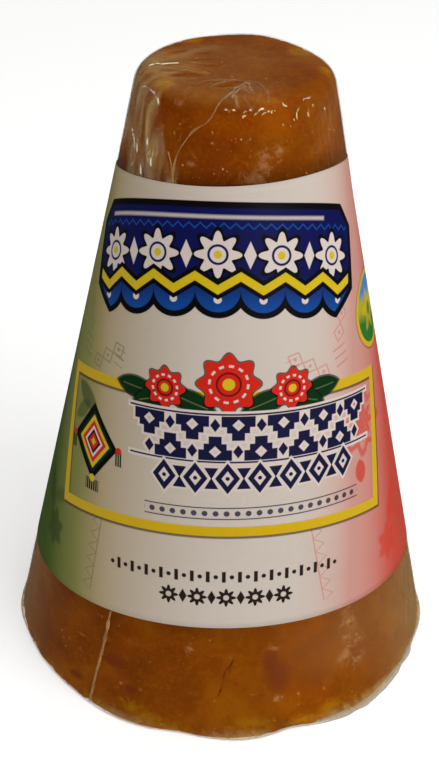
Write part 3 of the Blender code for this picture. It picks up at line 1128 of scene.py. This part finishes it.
def film_seal(material):
    """The film's long seal: a thin raised strip up the side, over the edge and across the top to
    where the film is twisted together. A short tuck of film branches off it over the band."""
    side = [on_side(azimuth, height * MM, SEAL_HALF_HEIGHT) for azimuth, height in SEAL_SIDE]
    top = [over_top(x * MM, y * MM, SEAL_HALF_HEIGHT) for x, y in SEAL_TOP]
    path = smoothed(side + top, SEAL_STEPS)
    height = path[:, 2] / MM
    radial = path * np.array([1, 1, 0])
    radial /= np.linalg.norm(radial, axis=1, keepdims=True)
    tilt = HALF_ANGLE + (math.pi / 2 - HALF_ANGLE) * eased(height, 90.4, 93)
    normals = radial * np.cos(tilt)[:, None] + np.array([0, 0, 1]) * np.sin(tilt)[:, None]
    wobble = noise(path, 1.5 * MM, 41)
    knots = smooth_step(2.4 * noise(path, 0.7 * MM, 43) - 0.3)
    hidden = eased(height, 16.6, 17.7) * eased(height, 82, 81)
    path = path - normals * (0.3 * MM * hidden)[:, None]
    path = path + np.cross(normals, np.gradient(path, axis=0)) * (0.17 * wobble)[:, None]
    wide = 0.14 + 0.07 * wobble - 0.04 * eased(height, 84.5, 86.5)
    wide += knots * (0.13 - 0.09 * eased(height, 60, 80))
    wide += 0.10 * eased(np.abs(height - 83.2), 1.2, 0)
    wide += 0.06 * eased(height, 91.6, 93.1) + 0.08 * eased(height, 16, 13)
    haze = 0.34 + 0.26 * noise(path, 1.1 * MM, 42) - 0.06 * eased(height, 84, 86)
    haze += 0.05 * eased(height, 20, 16) - 0.06 * eased(height, 91, 93)
    haze -= 0.2 * np.linspace(0, 1, SEAL_STEPS) ** 12
    seal = ribbon_mesh("seal", path, normals, wide * MM, SEAL_HALF_HEIGHT, haze)
    tuck_path = smoothed([on_side(a, h * MM, 0.1 * MM) for a, h in SEAL_TUCK], TUCK_STEPS)
    outward = np.repeat(on_side(-34, 0, 1.0)[None] - on_side(-34, 0), TUCK_STEPS, axis=0)
    thin = np.full(TUCK_STEPS, 0.10 * MM)
    pale = np.linspace(0.62, 0.28, TUCK_STEPS)
    tuck = ribbon_mesh("tuck", tuck_path, outward, thin, 0.06 * MM, pale)
    return finished("film_seal", joined("film_seal", [seal, tuck]), material)


# Where the film is twisted together: lines of (x, y) in millimetres, and how white each is
GATHER_LINES = (
    (((-1.3, -12.1), (-0.5, -11.2), (0.4, -8.8), (1.3, -7.6), (1.9, -8.0), (2.1, -10.2)), 0.30),
    (((-0.3, -11.8), (0.7, -9.7), (1.1, -8.5)), 0.26),
    (((0.0, -11.6), (0.3, -12.9)), 0.20),
    (((1.1, -11.8), (2.0, -12.8)), 0.08),
    (((1.9, -6.7), (3.0, -7.2), (4.0, -9.5), (4.3, -11.8)), 0.10),
    (((1.9, -7.4), (2.8, -8.4), (3.3, -10.2), (3.0, -12.0)), 0.06),
    (((1.0, -9.6), (1.7, -10.6), (2.4, -10.9)), 0.14),
)


def film_gather(material):
    """Where the film's ends are twisted together on the top: a small crumpled patch of film that
    sinks into the rest at its border, its folds whitened."""
    rings, spokes, reach = 46, 190, 4.5 * MM
    share, turn = np.meshgrid(
        np.linspace(0, 1, rings), np.linspace(0, math.tau, spokes, endpoint=False), indexing="ij"
    )
    x = GATHER[0] - 0.2 * MM + share * reach * np.cos(turn)
    y = GATHER[1] - MM + share * reach * np.sin(turn)
    place = np.stack([x, y, 0 * x], -1)
    bend = place / MM + 0.22 * np.stack([noise(place, 1.3 * MM, 51 + k) for k in range(3)], -1)
    crumple = noise(place, 0.8 * MM, 54)
    ease = eased(share, 1, 0.75)
    knot = np.exp(-((np.hypot(bend[..., 0] - 1.5, 0.7 * (bend[..., 1] + 8.9)) / 0.9) ** 2))
    haze = knot * (0.07 + 0.16 * crumple)
    for points, white in GATHER_LINES:
        gap = line_distance(bend[..., 0], bend[..., 1], points)
        haze = np.maximum(haze, white * (1 + 0.6 * crumple) * np.exp(-((gap / 0.17) ** 2)))
    out = MM * (0.12 + 0.10 * knot + 0.35 * haze + 0.03 * crumple) * ease - 0.06 * MM
    upper = over_top(x, y, out)
    lower = over_top(x, y, 0 * x - 0.1 * MM)[::-1]
    haze = np.concatenate([haze * ease, 0 * haze]).clip(0, 1)
    mesh = turned_mesh("film_gather", np.concatenate([upper, lower]), {"haze": haze})
    return finished("film_gather", mesh, material)


def film_hem(material):
    """The doubled edge of film along the base: a thin lip that runs right round, waving in and out,
    its section an oval that leans outwards."""
    turn = np.linspace(-math.pi, math.pi, 540, endpoint=False)
    along = np.stack([np.sin(turn), np.cos(turn), 0 * turn], -1)
    flutter = noise(along, 0.11, 61) + 0.5 * noise(along, 0.05, 62)
    loose = 0.03 + 0.97 * np.maximum(bump(turn, 50, 52), 0.12 * bump(turn, -95, 40))
    loose = np.maximum(loose, 0.7 * bump(turn, 160, 60))
    wide = (0.10 + 0.38 * loose + 0.16 * loose * flutter) * MM
    middle = BASE_RADIUS + film_folds(turn, 0 * turn + 0.2 * MM)
    middle = middle + (0.12 * flutter * loose - 0.16) * MM
    level = (0.16 + 0.22 * loose + 0.10 * flutter * loose) * MM
    section = np.linspace(0, math.tau, 12, endpoint=False)[:, None]
    lean = 0.9
    out, up = np.cos(section) * wide, np.sin(section) * 0.09 * MM
    radius = middle + out * math.sin(lean) + up * math.cos(lean)
    height = level - out * math.cos(lean) + up * math.sin(lean)
    points = polar(turn, radius, np.maximum(height, 0))
    rows, columns = points.shape[:2]
    ring = np.arange(rows * columns).reshape(rows, columns)
    below, right = np.roll(ring, -1, axis=0), np.roll(ring, -1, axis=1)
    quads = np.stack([ring, right, np.roll(below, -1, axis=1), below], -1).reshape(-1, 4)
    haze = 0.04 + 0.6 * loose + 0.2 * flutter * (0.2 + loose)
    haze = np.tile(haze, rows).clip(0.05, 0.9)
    mesh = new_mesh("film_hem", points, quads.tolist(), {"haze": haze})
    return finished("film_hem", mesh, material)


# ---- Print on the band -------------------------------------------------------------------------
# Shapes are distances in millimetres on the band laid out flat, below 0 inside. x runs across from
# the front, y up from the base edge.


PAPER_WHITE = seen(196, 184, 173)
HALO_WHITE = seen(206, 192, 184)
# Straw and olive darken the band's left side as painted shade as well as print
FIELD_STRAW_AND_SHADE = seen(168, 148, 106)
FIELD_OLIVE_AND_SHADE = seen(130, 130, 66)
FIELD_GREEN = seen(68, 92, 14)
FIELD_PINK = seen(193, 141, 129)
FIELD_RED = seen(194, 66, 48)
NAVY = seen(18, 18, 58)
BANNER_BLUE = seen(4, 10, 76)
BANNER_SKY = seen(0, 68, 146)
OUTLINE = seen(8, 6, 10)
CORN_YELLOW = seen(202, 174, 10)
FRAME_YELLOW = seen(200, 164, 0)
BADGE_SKY = seen(70, 122, 184)
BADGE_STRAW = seen(170, 160, 16)
BADGE_GREEN = seen(40, 112, 36)
FRAME_SHADE = seen(84, 62, 30)
BLOSSOM_RED = seen(200, 28, 6)
LEAF_GREEN = seen(2, 48, 10)
WEIGHT_BROWN = seen(40, 26, 20)
LINE_GREEN = seen(108, 106, 74)
LINE_RED = seen(196, 108, 92)
SHADOW_GREEN = seen(52, 72, 26)
SHADOW_RED = seen(198, 52, 32)
# The panels at the back: the azimuth in degrees of each, and the side its long bars are on
BACK_PANELS = ((-126, 1), (122, -1))


def length(u, v):
    """The distance from the origin."""
    return (u * u + v * v).math("SQRT")


def disc(u, v, radius):
    """A circle: the distance from its middle less its radius."""
    return length(u, v) - radius


def slab(u, v, half_width, half_height):
    """A rectangle: |u| and |v|, each less its half size, whichever is more."""
    return (abs(u) - half_width).max(abs(v) - half_height)


def lozenge(u, v, half_width, half_height):
    """A diamond: |u| and |v| as shares of the half sizes, added, less 1, in millimetres."""
    slope = half_width * half_height / math.hypot(half_width, half_height)
    return (abs(u) / half_width + abs(v) / half_height - 1) * slope


def rosette(u, v, radius, petals, depth):
    """A round flower: its edge swells and sinks by depth, once for each petal."""
    around = v.math("ARCTAN2", u) * petals
    return length(u, v) - (around.math("COSINE") * depth + radius)


def zigzag(u, period, height):
    """A triangle wave from minus to plus height."""
    return abs(u.wrapped(period)) * (4 * height / period) - height


def leaf(u, v, half_length, half_width):
    """Where two equal circles overlap: pointed at both ends of u."""
    radius = (half_length**2 + half_width**2) / (2 * half_width)
    return length(u, abs(v) + (radius - half_width)) - radius


def line(distance, half_width):
    """The outline of a shape."""
    return abs(distance) - half_width


class Print:
    """The inks of the band, laid one over another. At (x, y) and turned by degrees, place gives the
    coordinates of a motif."""

    def __init__(self, tree, x, y, ground):
        self.tree, self.x, self.y, self.colour = tree, x, y, ground

    def place(self, across, up, degrees=0.0):
        u, v = self.x - across, self.y - up
        return rotated(u, v, degrees) if degrees else (u, v)

    def lay(self, distance, colour, share=1.0, soft=0.09):
        """Covers the inside of a shape, with an edge as wide as soft."""
        cover = (0.5 - distance / soft).clamped()
        if share != 1.0:
            cover = cover * share
        self.colour = blended(self.tree, cover, self.colour, colour)


def sides(art):
    """Straw, olive and then green grow towards the left edge, the straw and olive print and painted
    shade both, pink and then red towards the right one: a field's share is t^2, or 3t^2 - 2t^3
    where it starts inside another. The green leans."""
    for ground, edge, full, inner, lean in (
        (FIELD_STRAW_AND_SHADE, 2, -21.5, False, 0),
        (FIELD_OLIVE_AND_SHADE, -19, -26.5, True, 0),
        (FIELD_GREEN, -23, -36.5, True, 0.08),
        (FIELD_PINK, 9, 20.5, False, 0),
        (FIELD_RED, 20, 34.5, True, 0),
    ):
        across = art.x + (art.y - 24) * lean if lean else art.x
        share = ((across - edge) / (full - edge)).clamped()
        share = share * share * (3 - 2 * share) if inner else share * share
        art.colour = blended(art.tree, share, art.colour, ground)


def soft_motifs(art):
    """Large blurred blossoms and leaves in the colours of the fields they lie on, only fuller."""
    for across, up, turn, colour in (
        (-33.0, 29.0, 20, SHADOW_GREEN),
        (31.5, 28.5, -25, SHADOW_RED),
    ):
        u, v = art.place(across, up, turn)
        art.lay(rosette(u, v + 2.2, 2.6, 6, 0.5), colour, 0.7, 0.9)
        art.lay(leaf(v - 4.2, u + 0.6, 4.2, 1.6), colour, 0.7, 0.9)
        art.lay(leaf(u - 3.4, v - 2.6, 2.8, 1.1), colour, 0.5, 0.9)
    u, v = art.place(23.2, 47.6)
    art.lay(line(rosette(u, v, 4.1, 8, 0.7), 0.6), SHADOW_RED, 0.7, 0.5)
    art.lay(rosette(u, v, 2.3, 8, 0.5), SHADOW_RED, 0.75, 0.5)
    u, v = art.place(22.6, 40.2, 12)
    art.lay(leaf(v, u, 1.9, 1.2), SHADOW_RED, 0.85, 0.3)
    u, v = art.place(-24.0, 50.2, -30)
    art.lay(leaf(u, v, 3.4, 1.5), SHADOW_GREEN, 0.7, 0.5)
    u, v = art.place(-25.2, 48.0, 40)
    art.lay(leaf(u, v, 2.6, 1.1), SHADOW_GREEN, 0.6, 0.5)


def fine_lines(art):
    """Thin rows of diamonds, dashes and zigzags, the same on both sides of the middle."""
    u, v = art.place(-2.4, 0, 1.3)
    colour = blended(art.tree, (u * 4).clamped(), LINE_GREEN, LINE_RED)
    across = abs(u)
    for start, up, turn, count in ((15.6, 58.0, -28, 3), (21.6, 64.4, 78, 3), (27.6, 47.5, 82, 4)):
        p, q = rotated(across - start, v - up, turn)
        cell = p.wrapped(2.7)
        chain = line(lozenge(cell, q, 1.3, 1.1), 0.11).min(disc(cell, q, 0.26))
        art.lay(chain.max(abs(p) - 1.35 * count), colour, 0.62, 0.12)
    for start, up, turn, count, size in ((21.4, 58.4, 18, 3, 1.3), (13.0, 58.2, 20, 2, 0.9)):
        p, q = rotated(across - start, v - up, turn)
        dash = slab(p, q.wrapped(1.25), size, 0.11).max(abs(q) - 0.62 * count)
        art.lay(dash, colour, 0.8, 0.12)
    p = (across - 18.0) + (v - 28.5) * 0.2
    teeth = line(p - zigzag(v, 2.1, 0.85), 0.12).min(line(p + 0.85, 0.1))
    art.lay(teeth.max(abs(v - 27.6) - 6.4), colour, 0.7, 0.14)


def fields_edge(art):
    """The panel's yellow line, its ends a little lower than its middle, with a thin shadow inside
    and under it."""
    u, v = art.place(-1.15, 44.45, 1.0)
    v = v + u * u * 0.0008
    half_width, half_height = 27.75, 10.15
    shadow = line(slab(u - 0.25, v + 0.3, half_width, half_height), 0.84)
    art.lay(shadow, FRAME_SHADE, 0.85, 0.2)
    art.lay(line(slab(u, v, half_width, half_height), 0.74), FRAME_YELLOW)


def banner(art):
    """A cut-paper banner: scalloped along the foot, its corners cut off, with a row of flowers, and
    a yellow zigzag ribbon along the scallops."""
    u, v = art.place(-1.7, 74.6, 1.0)
    v = v + u * u * 0.0055
    half, step = 21.5, 8.6
    scallop = 2 * half / 7
    inner = u.min(half - 0.1).max(0.1 - half)
    foot = disc(inner.wrapped(scallop) + (u - inner), v + 4.8, scallop / 2 - 0.02)
    shape = (abs(u) - half).max(v - 6.4).max((-4.8 - v).min(foot))
    shape = shape.max((abs(u) + abs(v) - 25.6) * 0.71)
    inside = shape + 0.35
    art.lay(shape - 0.85, OUTLINE)
    blue = blended(art.tree, (v * -0.2 - 0.55).clamped(), BANNER_BLUE, BANNER_SKY)
    art.lay(shape, blue)
    art.lay(slab(u + 1.5, v - 5.2, 17.0, 0.24), HALO_WHITE, 0.75, 0.3)
    art.lay(line(v - 4.0 - zigzag(u, 1.57, 0.36), 0.13).max(inside), BANNER_SKY, 0.9)
    cell, rise = u.wrapped(step), v - 0.1
    flower = rosette(cell, rise, 2.6, 8, 0.62).max(inside)
    art.lay(flower - 0.62, OUTLINE)
    art.lay(flower, HALO_WHITE)
    art.lay(line(disc(cell, rise, 1.25), 0.17).max(inside), BANNER_BLUE)
    art.lay(disc(cell, rise, 0.55).max(inside), CORN_YELLOW)
    spark = lozenge((u + step / 2).wrapped(step), rise, 0.85, 1.9)
    art.lay(spark.max(abs(u) - 18), HALO_WHITE)
    art.lay(disc(u.wrapped(scallop), v + 6.1, 0.55).max(inside), HALO_WHITE)
    ribbon = line(v + 3.8 - zigzag(u, scallop, 0.95), 0.66).max(inside)
    art.lay((ribbon - 0.7).max(shape), OUTLINE)
    art.lay(ribbon, CORN_YELLOW)


def garland(art):
    """Three red blossoms with dark green leaves, over the panel's upper edge."""
    u, v = art.place(0.2, 55.6, 1.0)
    across = abs(u)
    for along, up, turn, size in ((13.6, -0.9, 6, 3.4), (10.8, -2.0, -16, 3.4), (5.2, -1.9, 20, 3.6)):
        p, q = rotated(across - along, v - up, turn)
        blade = leaf(p, q, size, size * 0.44)
        art.lay(blade - 0.25, OUTLINE, 0.8)
        art.lay(blade, LEAF_GREEN)
        art.lay(slab(p, q, size * 0.7, 0.09), LINE_GREEN, 0.7)
    for centre, up, radius in ((across - 9.0, -0.2, 2.7), (u, 0.9, 3.9)):
        rise = v - up
        edge = rosette(centre, rise, radius, 8, radius * 0.13)
        art.lay(edge - 0.28, OUTLINE, 0.85)
        art.lay(edge, BLOSSOM_RED)
        ring = line(disc(centre, rise, radius * 0.68), 0.17)
        dashes = (rise.math("ARCTAN2", centre) * 12).math("SINE")
        art.lay(ring.max(dashes * 0.3), HALO_WHITE)
        art.lay(line(disc(centre, rise, radius * 0.42), 0.14), OUTLINE, 0.8)
        art.lay(disc(centre, rise, radius * 0.22), CORN_YELLOW)


def stepped_row(art):
    """The panel's main row, in navy: stepped pyramids that stand and hang by turns, each with a
    diamond in it and one over its top."""
    u, v = art.place(4.9, 48.6, 0.8)
    shape = line(abs(v) - 3.55, 0.13).max(abs(u) - 19.2)
    step = 6.4
    for shift, up, reach in ((0.0, 1, 16), (step / 2, -1, 19.2)):
        p, q = abs((u + shift).wrapped(step)), v * up
        stair = slab(p, q + 2.5, 2.35, 0.8).min(slab(p, q + 1.6, 1.6, 0.8))
        stair = stair.min(slab(p, q + 0.6, 0.9, 0.9)).max(lozenge(p, q + 2.0, 0.85, 0.85) * -1)
        shape = shape.min(stair.min(lozenge(p, q - 1.95, 0.72, 1.0)).max(abs(u) - reach))
    art.lay(shape - 0.36, HALO_WHITE)
    art.lay(shape, NAVY)


def second_row(art):
    """Navy lozenges with hourglasses between them."""
    u, v = art.place(4.9, 42.6, 1.2)
    step = 4.54
    cell = u.wrapped(step)
    gems = line(lozenge(cell, v, 1.3, 1.75), 0.36).min(disc(cell, v, 0.3))
    waist = abs((u + step / 2).wrapped(step)) * 1.7 - abs(v) - 0.1
    bows = waist.max(abs(v) - 1.6).max(abs(u) - 13.4)
    shape = gems.min(bows).max(abs(u) - 15.8)
    art.lay(shape - 0.3, HALO_WHITE)
    art.lay(shape, NAVY)


def small_row(art):
    """A rule of dots between two fine lines."""
    u, v = art.place(5.0, 37.2, 1.2)
    reach = abs(u) - 16.7
    dots = disc(u.wrapped(1.55), v, 0.42).min(line(abs(v) - 0.86, 0.09))
    art.lay(dots.max(reach), NAVY, 0.9)


def woven_eye(art):
    """A yarn-wound diamond: bands of colour round a centre, with a tassel at each side corner and a
    fringe at its foot."""
    u, v = art.place(-21.8, 44.0)
    eye = lozenge(u, v, 5.2, 5.9)
    for inset, colour in (
        (0.0, OUTLINE),
        (0.75, LEAF_GREEN),
        (1.2, CORN_YELLOW),
        (1.75, BLOSSOM_RED),
        (2.3, HALO_WHITE),
        (2.65, OUTLINE),
        (3.0, BLOSSOM_RED),
        (3.5, CORN_YELLOW),
    ):
        art.lay(eye + inset, colour)
    side = abs(u) - 5.4
    tassel = slab(side, v + 1.15, 0.6, 1.2).max(abs(side.wrapped(0.42)) - 0.15)
    art.lay(tassel, LEAF_GREEN)
    art.lay(disc(side, v, 0.55), BLOSSOM_RED)
    fringe = slab(u, v + 6.6, 1.5, 0.9).max(abs(u.wrapped(0.5)) - 0.17)
    art.lay(fringe, OUTLINE)
    art.lay(disc(u, v + 5.6, 0.6), CORN_YELLOW)


def badge(art):
    """A round badge on the right: a yellow rim, sky over straw and then green, a yellow flower."""
    u, v = art.place(27.6, 63.6)
    disk = disc(u, v, 6.0)
    art.lay(disk, FRAME_SHADE, 0.6, 0.3)
    art.lay(disk + 0.25, FRAME_YELLOW)
    ground = blended(art.tree, (v * -0.7 + 1.9).clamped(), BADGE_SKY, BADGE_STRAW)
    ground = blended(art.tree, (v * -0.5 + 0.1).clamped(), ground, BADGE_GREEN)
    art.lay(disk + 1.0, ground)
    art.lay(rosette(u, v, 2.7, 6, 0.8), CORN_YELLOW, 0.5, 0.5)
    art.lay(disc(u, v, 1.0), BADGE_GREEN, 0.8, 0.3)


def weight_rows(art):
    """Two plain rows under the panel, in dark brown: bars and dots, then flowers and diamonds."""
    u, v = art.place(0.2, 27.1, 0.9)
    step = 2.3
    dots = disc((u + step / 2).wrapped(step), v, 0.33)
    bars = slab(u.wrapped(step), v, 0.28, 0.85).min(dots)
    art.lay(bars.max(abs(u) - 18.0), WEIGHT_BROWN)
    u, v = art.place(0.6, 23.8, 0.6)
    step = 4.2
    cell = u.wrapped(step)
    flowers = rosette(cell, v, 1.15, 8, 0.3).max(disc(cell, v, 0.42) * -1)
    gems = lozenge((u + step / 2).wrapped(step), v, 0.6, 1.1)
    art.lay(flowers.min(gems).max(abs(u) - 9.9), WEIGHT_BROWN)


def back_panel(art, flip):
    """A plain white panel ruled like a table, with short bars in its rows."""
    u, v = art.x * flip, art.y - 45
    body = slab(u, v, 11.5, 17)
    art.lay(body - 0.5, FRAME_YELLOW)
    art.lay(body, PAPER_WHITE)
    art.lay(line(body + 1.0, 0.14), WEIGHT_BROWN)
    inside = body + 1.6
    step = 3.1
    art.lay((abs(v.wrapped(step)) - 0.09).max(inside), WEIGHT_BROWN, 0.8)
    row = (v + step / 2).wrapped(step)
    for middle, half_width in ((-4.2, 4.4), (6.6, 1.8)):
        art.lay(slab(u - middle, row, half_width, 0.42).max(inside), WEIGHT_BROWN, 0.75)
    art.lay(slab(u, v - 13.6, 8.6, 1.0), NAVY)


def flat_place(turn, slant, azimuth):
    """Millimetres across and up on the side laid out flat round an azimuth in degrees: slant times
    the sine of the turn, and what the apex's slant leaves of slant times its cosine."""
    turn = turn - math.radians(azimuth) * math.sin(HALF_ANGLE)
    x = slant * turn.math("SINE")
    return x, slant * turn.math("COSINE") * -1 + APEX_SLANT / MM


def print_material():
    """Satin paper with its print."""
    material, tree, shader = new_material("printed_satin_paper")
    turn, slant, _ = parts(tree, read(tree, "unrolled", "Vector"))
    art = Print(tree, *flat_place(turn, slant, 0), PAPER_WHITE)
    for layer in (
        sides,
        soft_motifs,
        fine_lines,
        badge,
        fields_edge,
        banner,
        garland,
        stepped_row,
        second_row,
        small_row,
        woven_eye,
        weight_rows,
    ):
        layer(art)
    for azimuth, flip in BACK_PANELS:
        art.x, art.y = flat_place(turn, slant, azimuth)
        back_panel(art, flip)
    place = object_place(tree)
    fibre = noise_field(tree, place, 0.5 * MM, 3, 0.6)
    shade = noise_field(tree, place, 14 * MM, 2)
    worn = (fibre * 0.10 + shade * 0.10 + 0.90).min(1.0)
    colour = blended(tree, 1.0, art.colour, worn, "MULTIPLY")
    gloss = (fibre * 0.12 + 0.40).clamped()
    fill(shader, {"Base Color": colour, "Roughness": gloss, "Specular IOR Level": 0.12})
    embossed(tree, shader, fibre, 0.12, 0.03 * MM)
    return material


def printed_band(material):
    """The paper band: a sheet a little longer than once round, its outer end lying over its inner
    end at the back, on the film's own folds."""
    lap = BAND_LAP / side_radius((BAND_BOTTOM[0] + BAND_TOP[0]) / 2)
    up_share, round_share = np.meshgrid(
        np.linspace(0, 1, 61), np.linspace(0, 1, 481), indexing="ij"
    )
    azimuth = (round_share - 0.5) * (math.tau + lap)
    low, high = band_edge(azimuth, BAND_BOTTOM), band_edge(azimuth, BAND_TOP)
    height = low + (high - low) * up_share
    lap_start = math.pi - lap / 2
    over = eased(azimuth, lap_start - LAP_RAMP, lap_start) * 1.35 * BAND_THICKNESS
    ripple = noise(on_side(np.degrees(azimuth), height) * np.array([1, 1, 0.4]), 11 * MM, 71)
    out = film_folds(azimuth, height) + BAND_OFF_SIDE + over + 0.03 * MM * ripple
    points = on_side(np.degrees(azimuth), height, out)
    turn, slant = unrolled(azimuth, height)
    mesh = strip_mesh("printed_band", points, {"unrolled": np.stack([turn, slant, 0 * turn], -1)})
    band = finished("printed_band", mesh, material)
    wall = band.modifiers.new("Paper", "SOLIDIFY")
    wall.thickness = BAND_THICKNESS
    wall.offset = 1
    return band


# ---- The object --------------------------------------------------------------------------------

block = sugar_block(sugar_material())
sugar_crumbs()
sugar_crystals()
wrap = clear_film(film_material("shrunk_clear_film", display(210, 176, 112), 0.07))
film_seal(film_material("sealed_clear_film", display(206, 154, 92), 0.22))
film_gather(film_material("folded_clear_film", display(222, 188, 144), 0.22))
film_hem(film_material("hem_clear_film", display(190, 177, 157), 0.22))
band = printed_band(print_material())
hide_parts("wrapped_cone")
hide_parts("wrapped_cone")
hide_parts("paper_label")


# ---- Room --------------------------------------------------------------------------------------

AIM = Vector((-1.1, 0, 42.5)) * MM
CAMERA_DISTANCE = 222.6 * MM
CAMERA_ELEVATION = math.radians(32.46)
CAMERA_ROLL = math.radians(1.38)
CAMERA_LENS = 68.97
FLOOR_SIZE = 6.0


def pale_floor():
    """A large plain floor, square, just under the base."""
    half = FLOOR_SIZE / 2
    corners = [(-half, -half, 0), (half, -half, 0), (half, half, 0), (-half, half, 0)]
    mesh = new_mesh("pale_floor", corners, [(0, 1, 2, 3)])
    material, _, shader = new_material("pale_floor_paint")
    fill(shader, {"Base Color": (0.95, 0.95, 0.945, 1), "Roughness": 0.9, "Specular IOR Level": 0.1})
    fill(shader, {"Emission Color": (1, 1, 1, 1), "Emission Strength": 0.28})
    mesh.materials.append(material)
    floor = placed("pale_floor", mesh)
    floor.visible_glossy = False


def soft_light(name, azimuth, elevation, distance, size, power, glint=False):
    """A square light that faces the middle of the cone. A glint shows in shiny surfaces alone, and
    any other light on matt ones alone."""
    turn, rise = math.radians(azimuth), math.radians(elevation)
    out = Vector((math.sin(turn) * math.cos(rise), -math.cos(turn) * math.cos(rise), math.sin(rise)))
    lamp = bpy.data.lights.new(name, "AREA")
    lamp.size = size
    lamp.energy = power
    holder = placed(name, lamp)
    holder.location = AIM + out * distance
    holder.rotation_euler = out.to_track_quat("Z", "Y").to_euler()
    holder.visible_diffuse = not glint
    holder.visible_glossy = glint


def room():
    """Plain soft light from above and from the right, and brighter panes that only the film's
    creases catch."""
    world = bpy.data.worlds.new("soft_room")
    world.use_nodes = True
    fill(world.node_tree.nodes["Background"], {"Color": (1.0, 0.97, 0.92, 1), "Strength": 0.08})
    bpy.context.scene.world = world
    soft_light("overhead", 0, 89, 1.1, 1.4, 10.2)
    soft_light("key", 48, 36, 0.9, 0.7, 3.9)
    soft_light("side", 95, 25, 0.9, 0.8, 0.5)
    soft_light("pane_front", 36, 28, 0.8, 0.12, 4.0, glint=True)
    soft_light("pane_right", 92, 30, 0.8, 0.10, 0.5, glint=True)
    soft_light("pane_left", -105, 22, 0.8, 0.10, 0.4, glint=True)


def camera():
    """A camera above the front that looks down at the middle of the cone, rolled a little."""
    lens = bpy.data.cameras.new("camera")
    lens.lens = CAMERA_LENS
    lens.sensor_width = 36
    lens.clip_start = 0.01
    holder = placed("camera", lens)
    away = Vector((0, -math.cos(CAMERA_ELEVATION), math.sin(CAMERA_ELEVATION)))
    tilt = Matrix.Rotation(math.pi / 2 - CAMERA_ELEVATION, 4, "X")
    roll = Matrix.Rotation(CAMERA_ROLL, 4, "Z")
    holder.matrix_world = Matrix.Translation(AIM + away * CAMERA_DISTANCE) @ tilt @ roll
    bpy.context.scene.camera = holder


pale_floor()
room()
camera()
bpy.context.scene.view_settings.view_transform = "Standard"
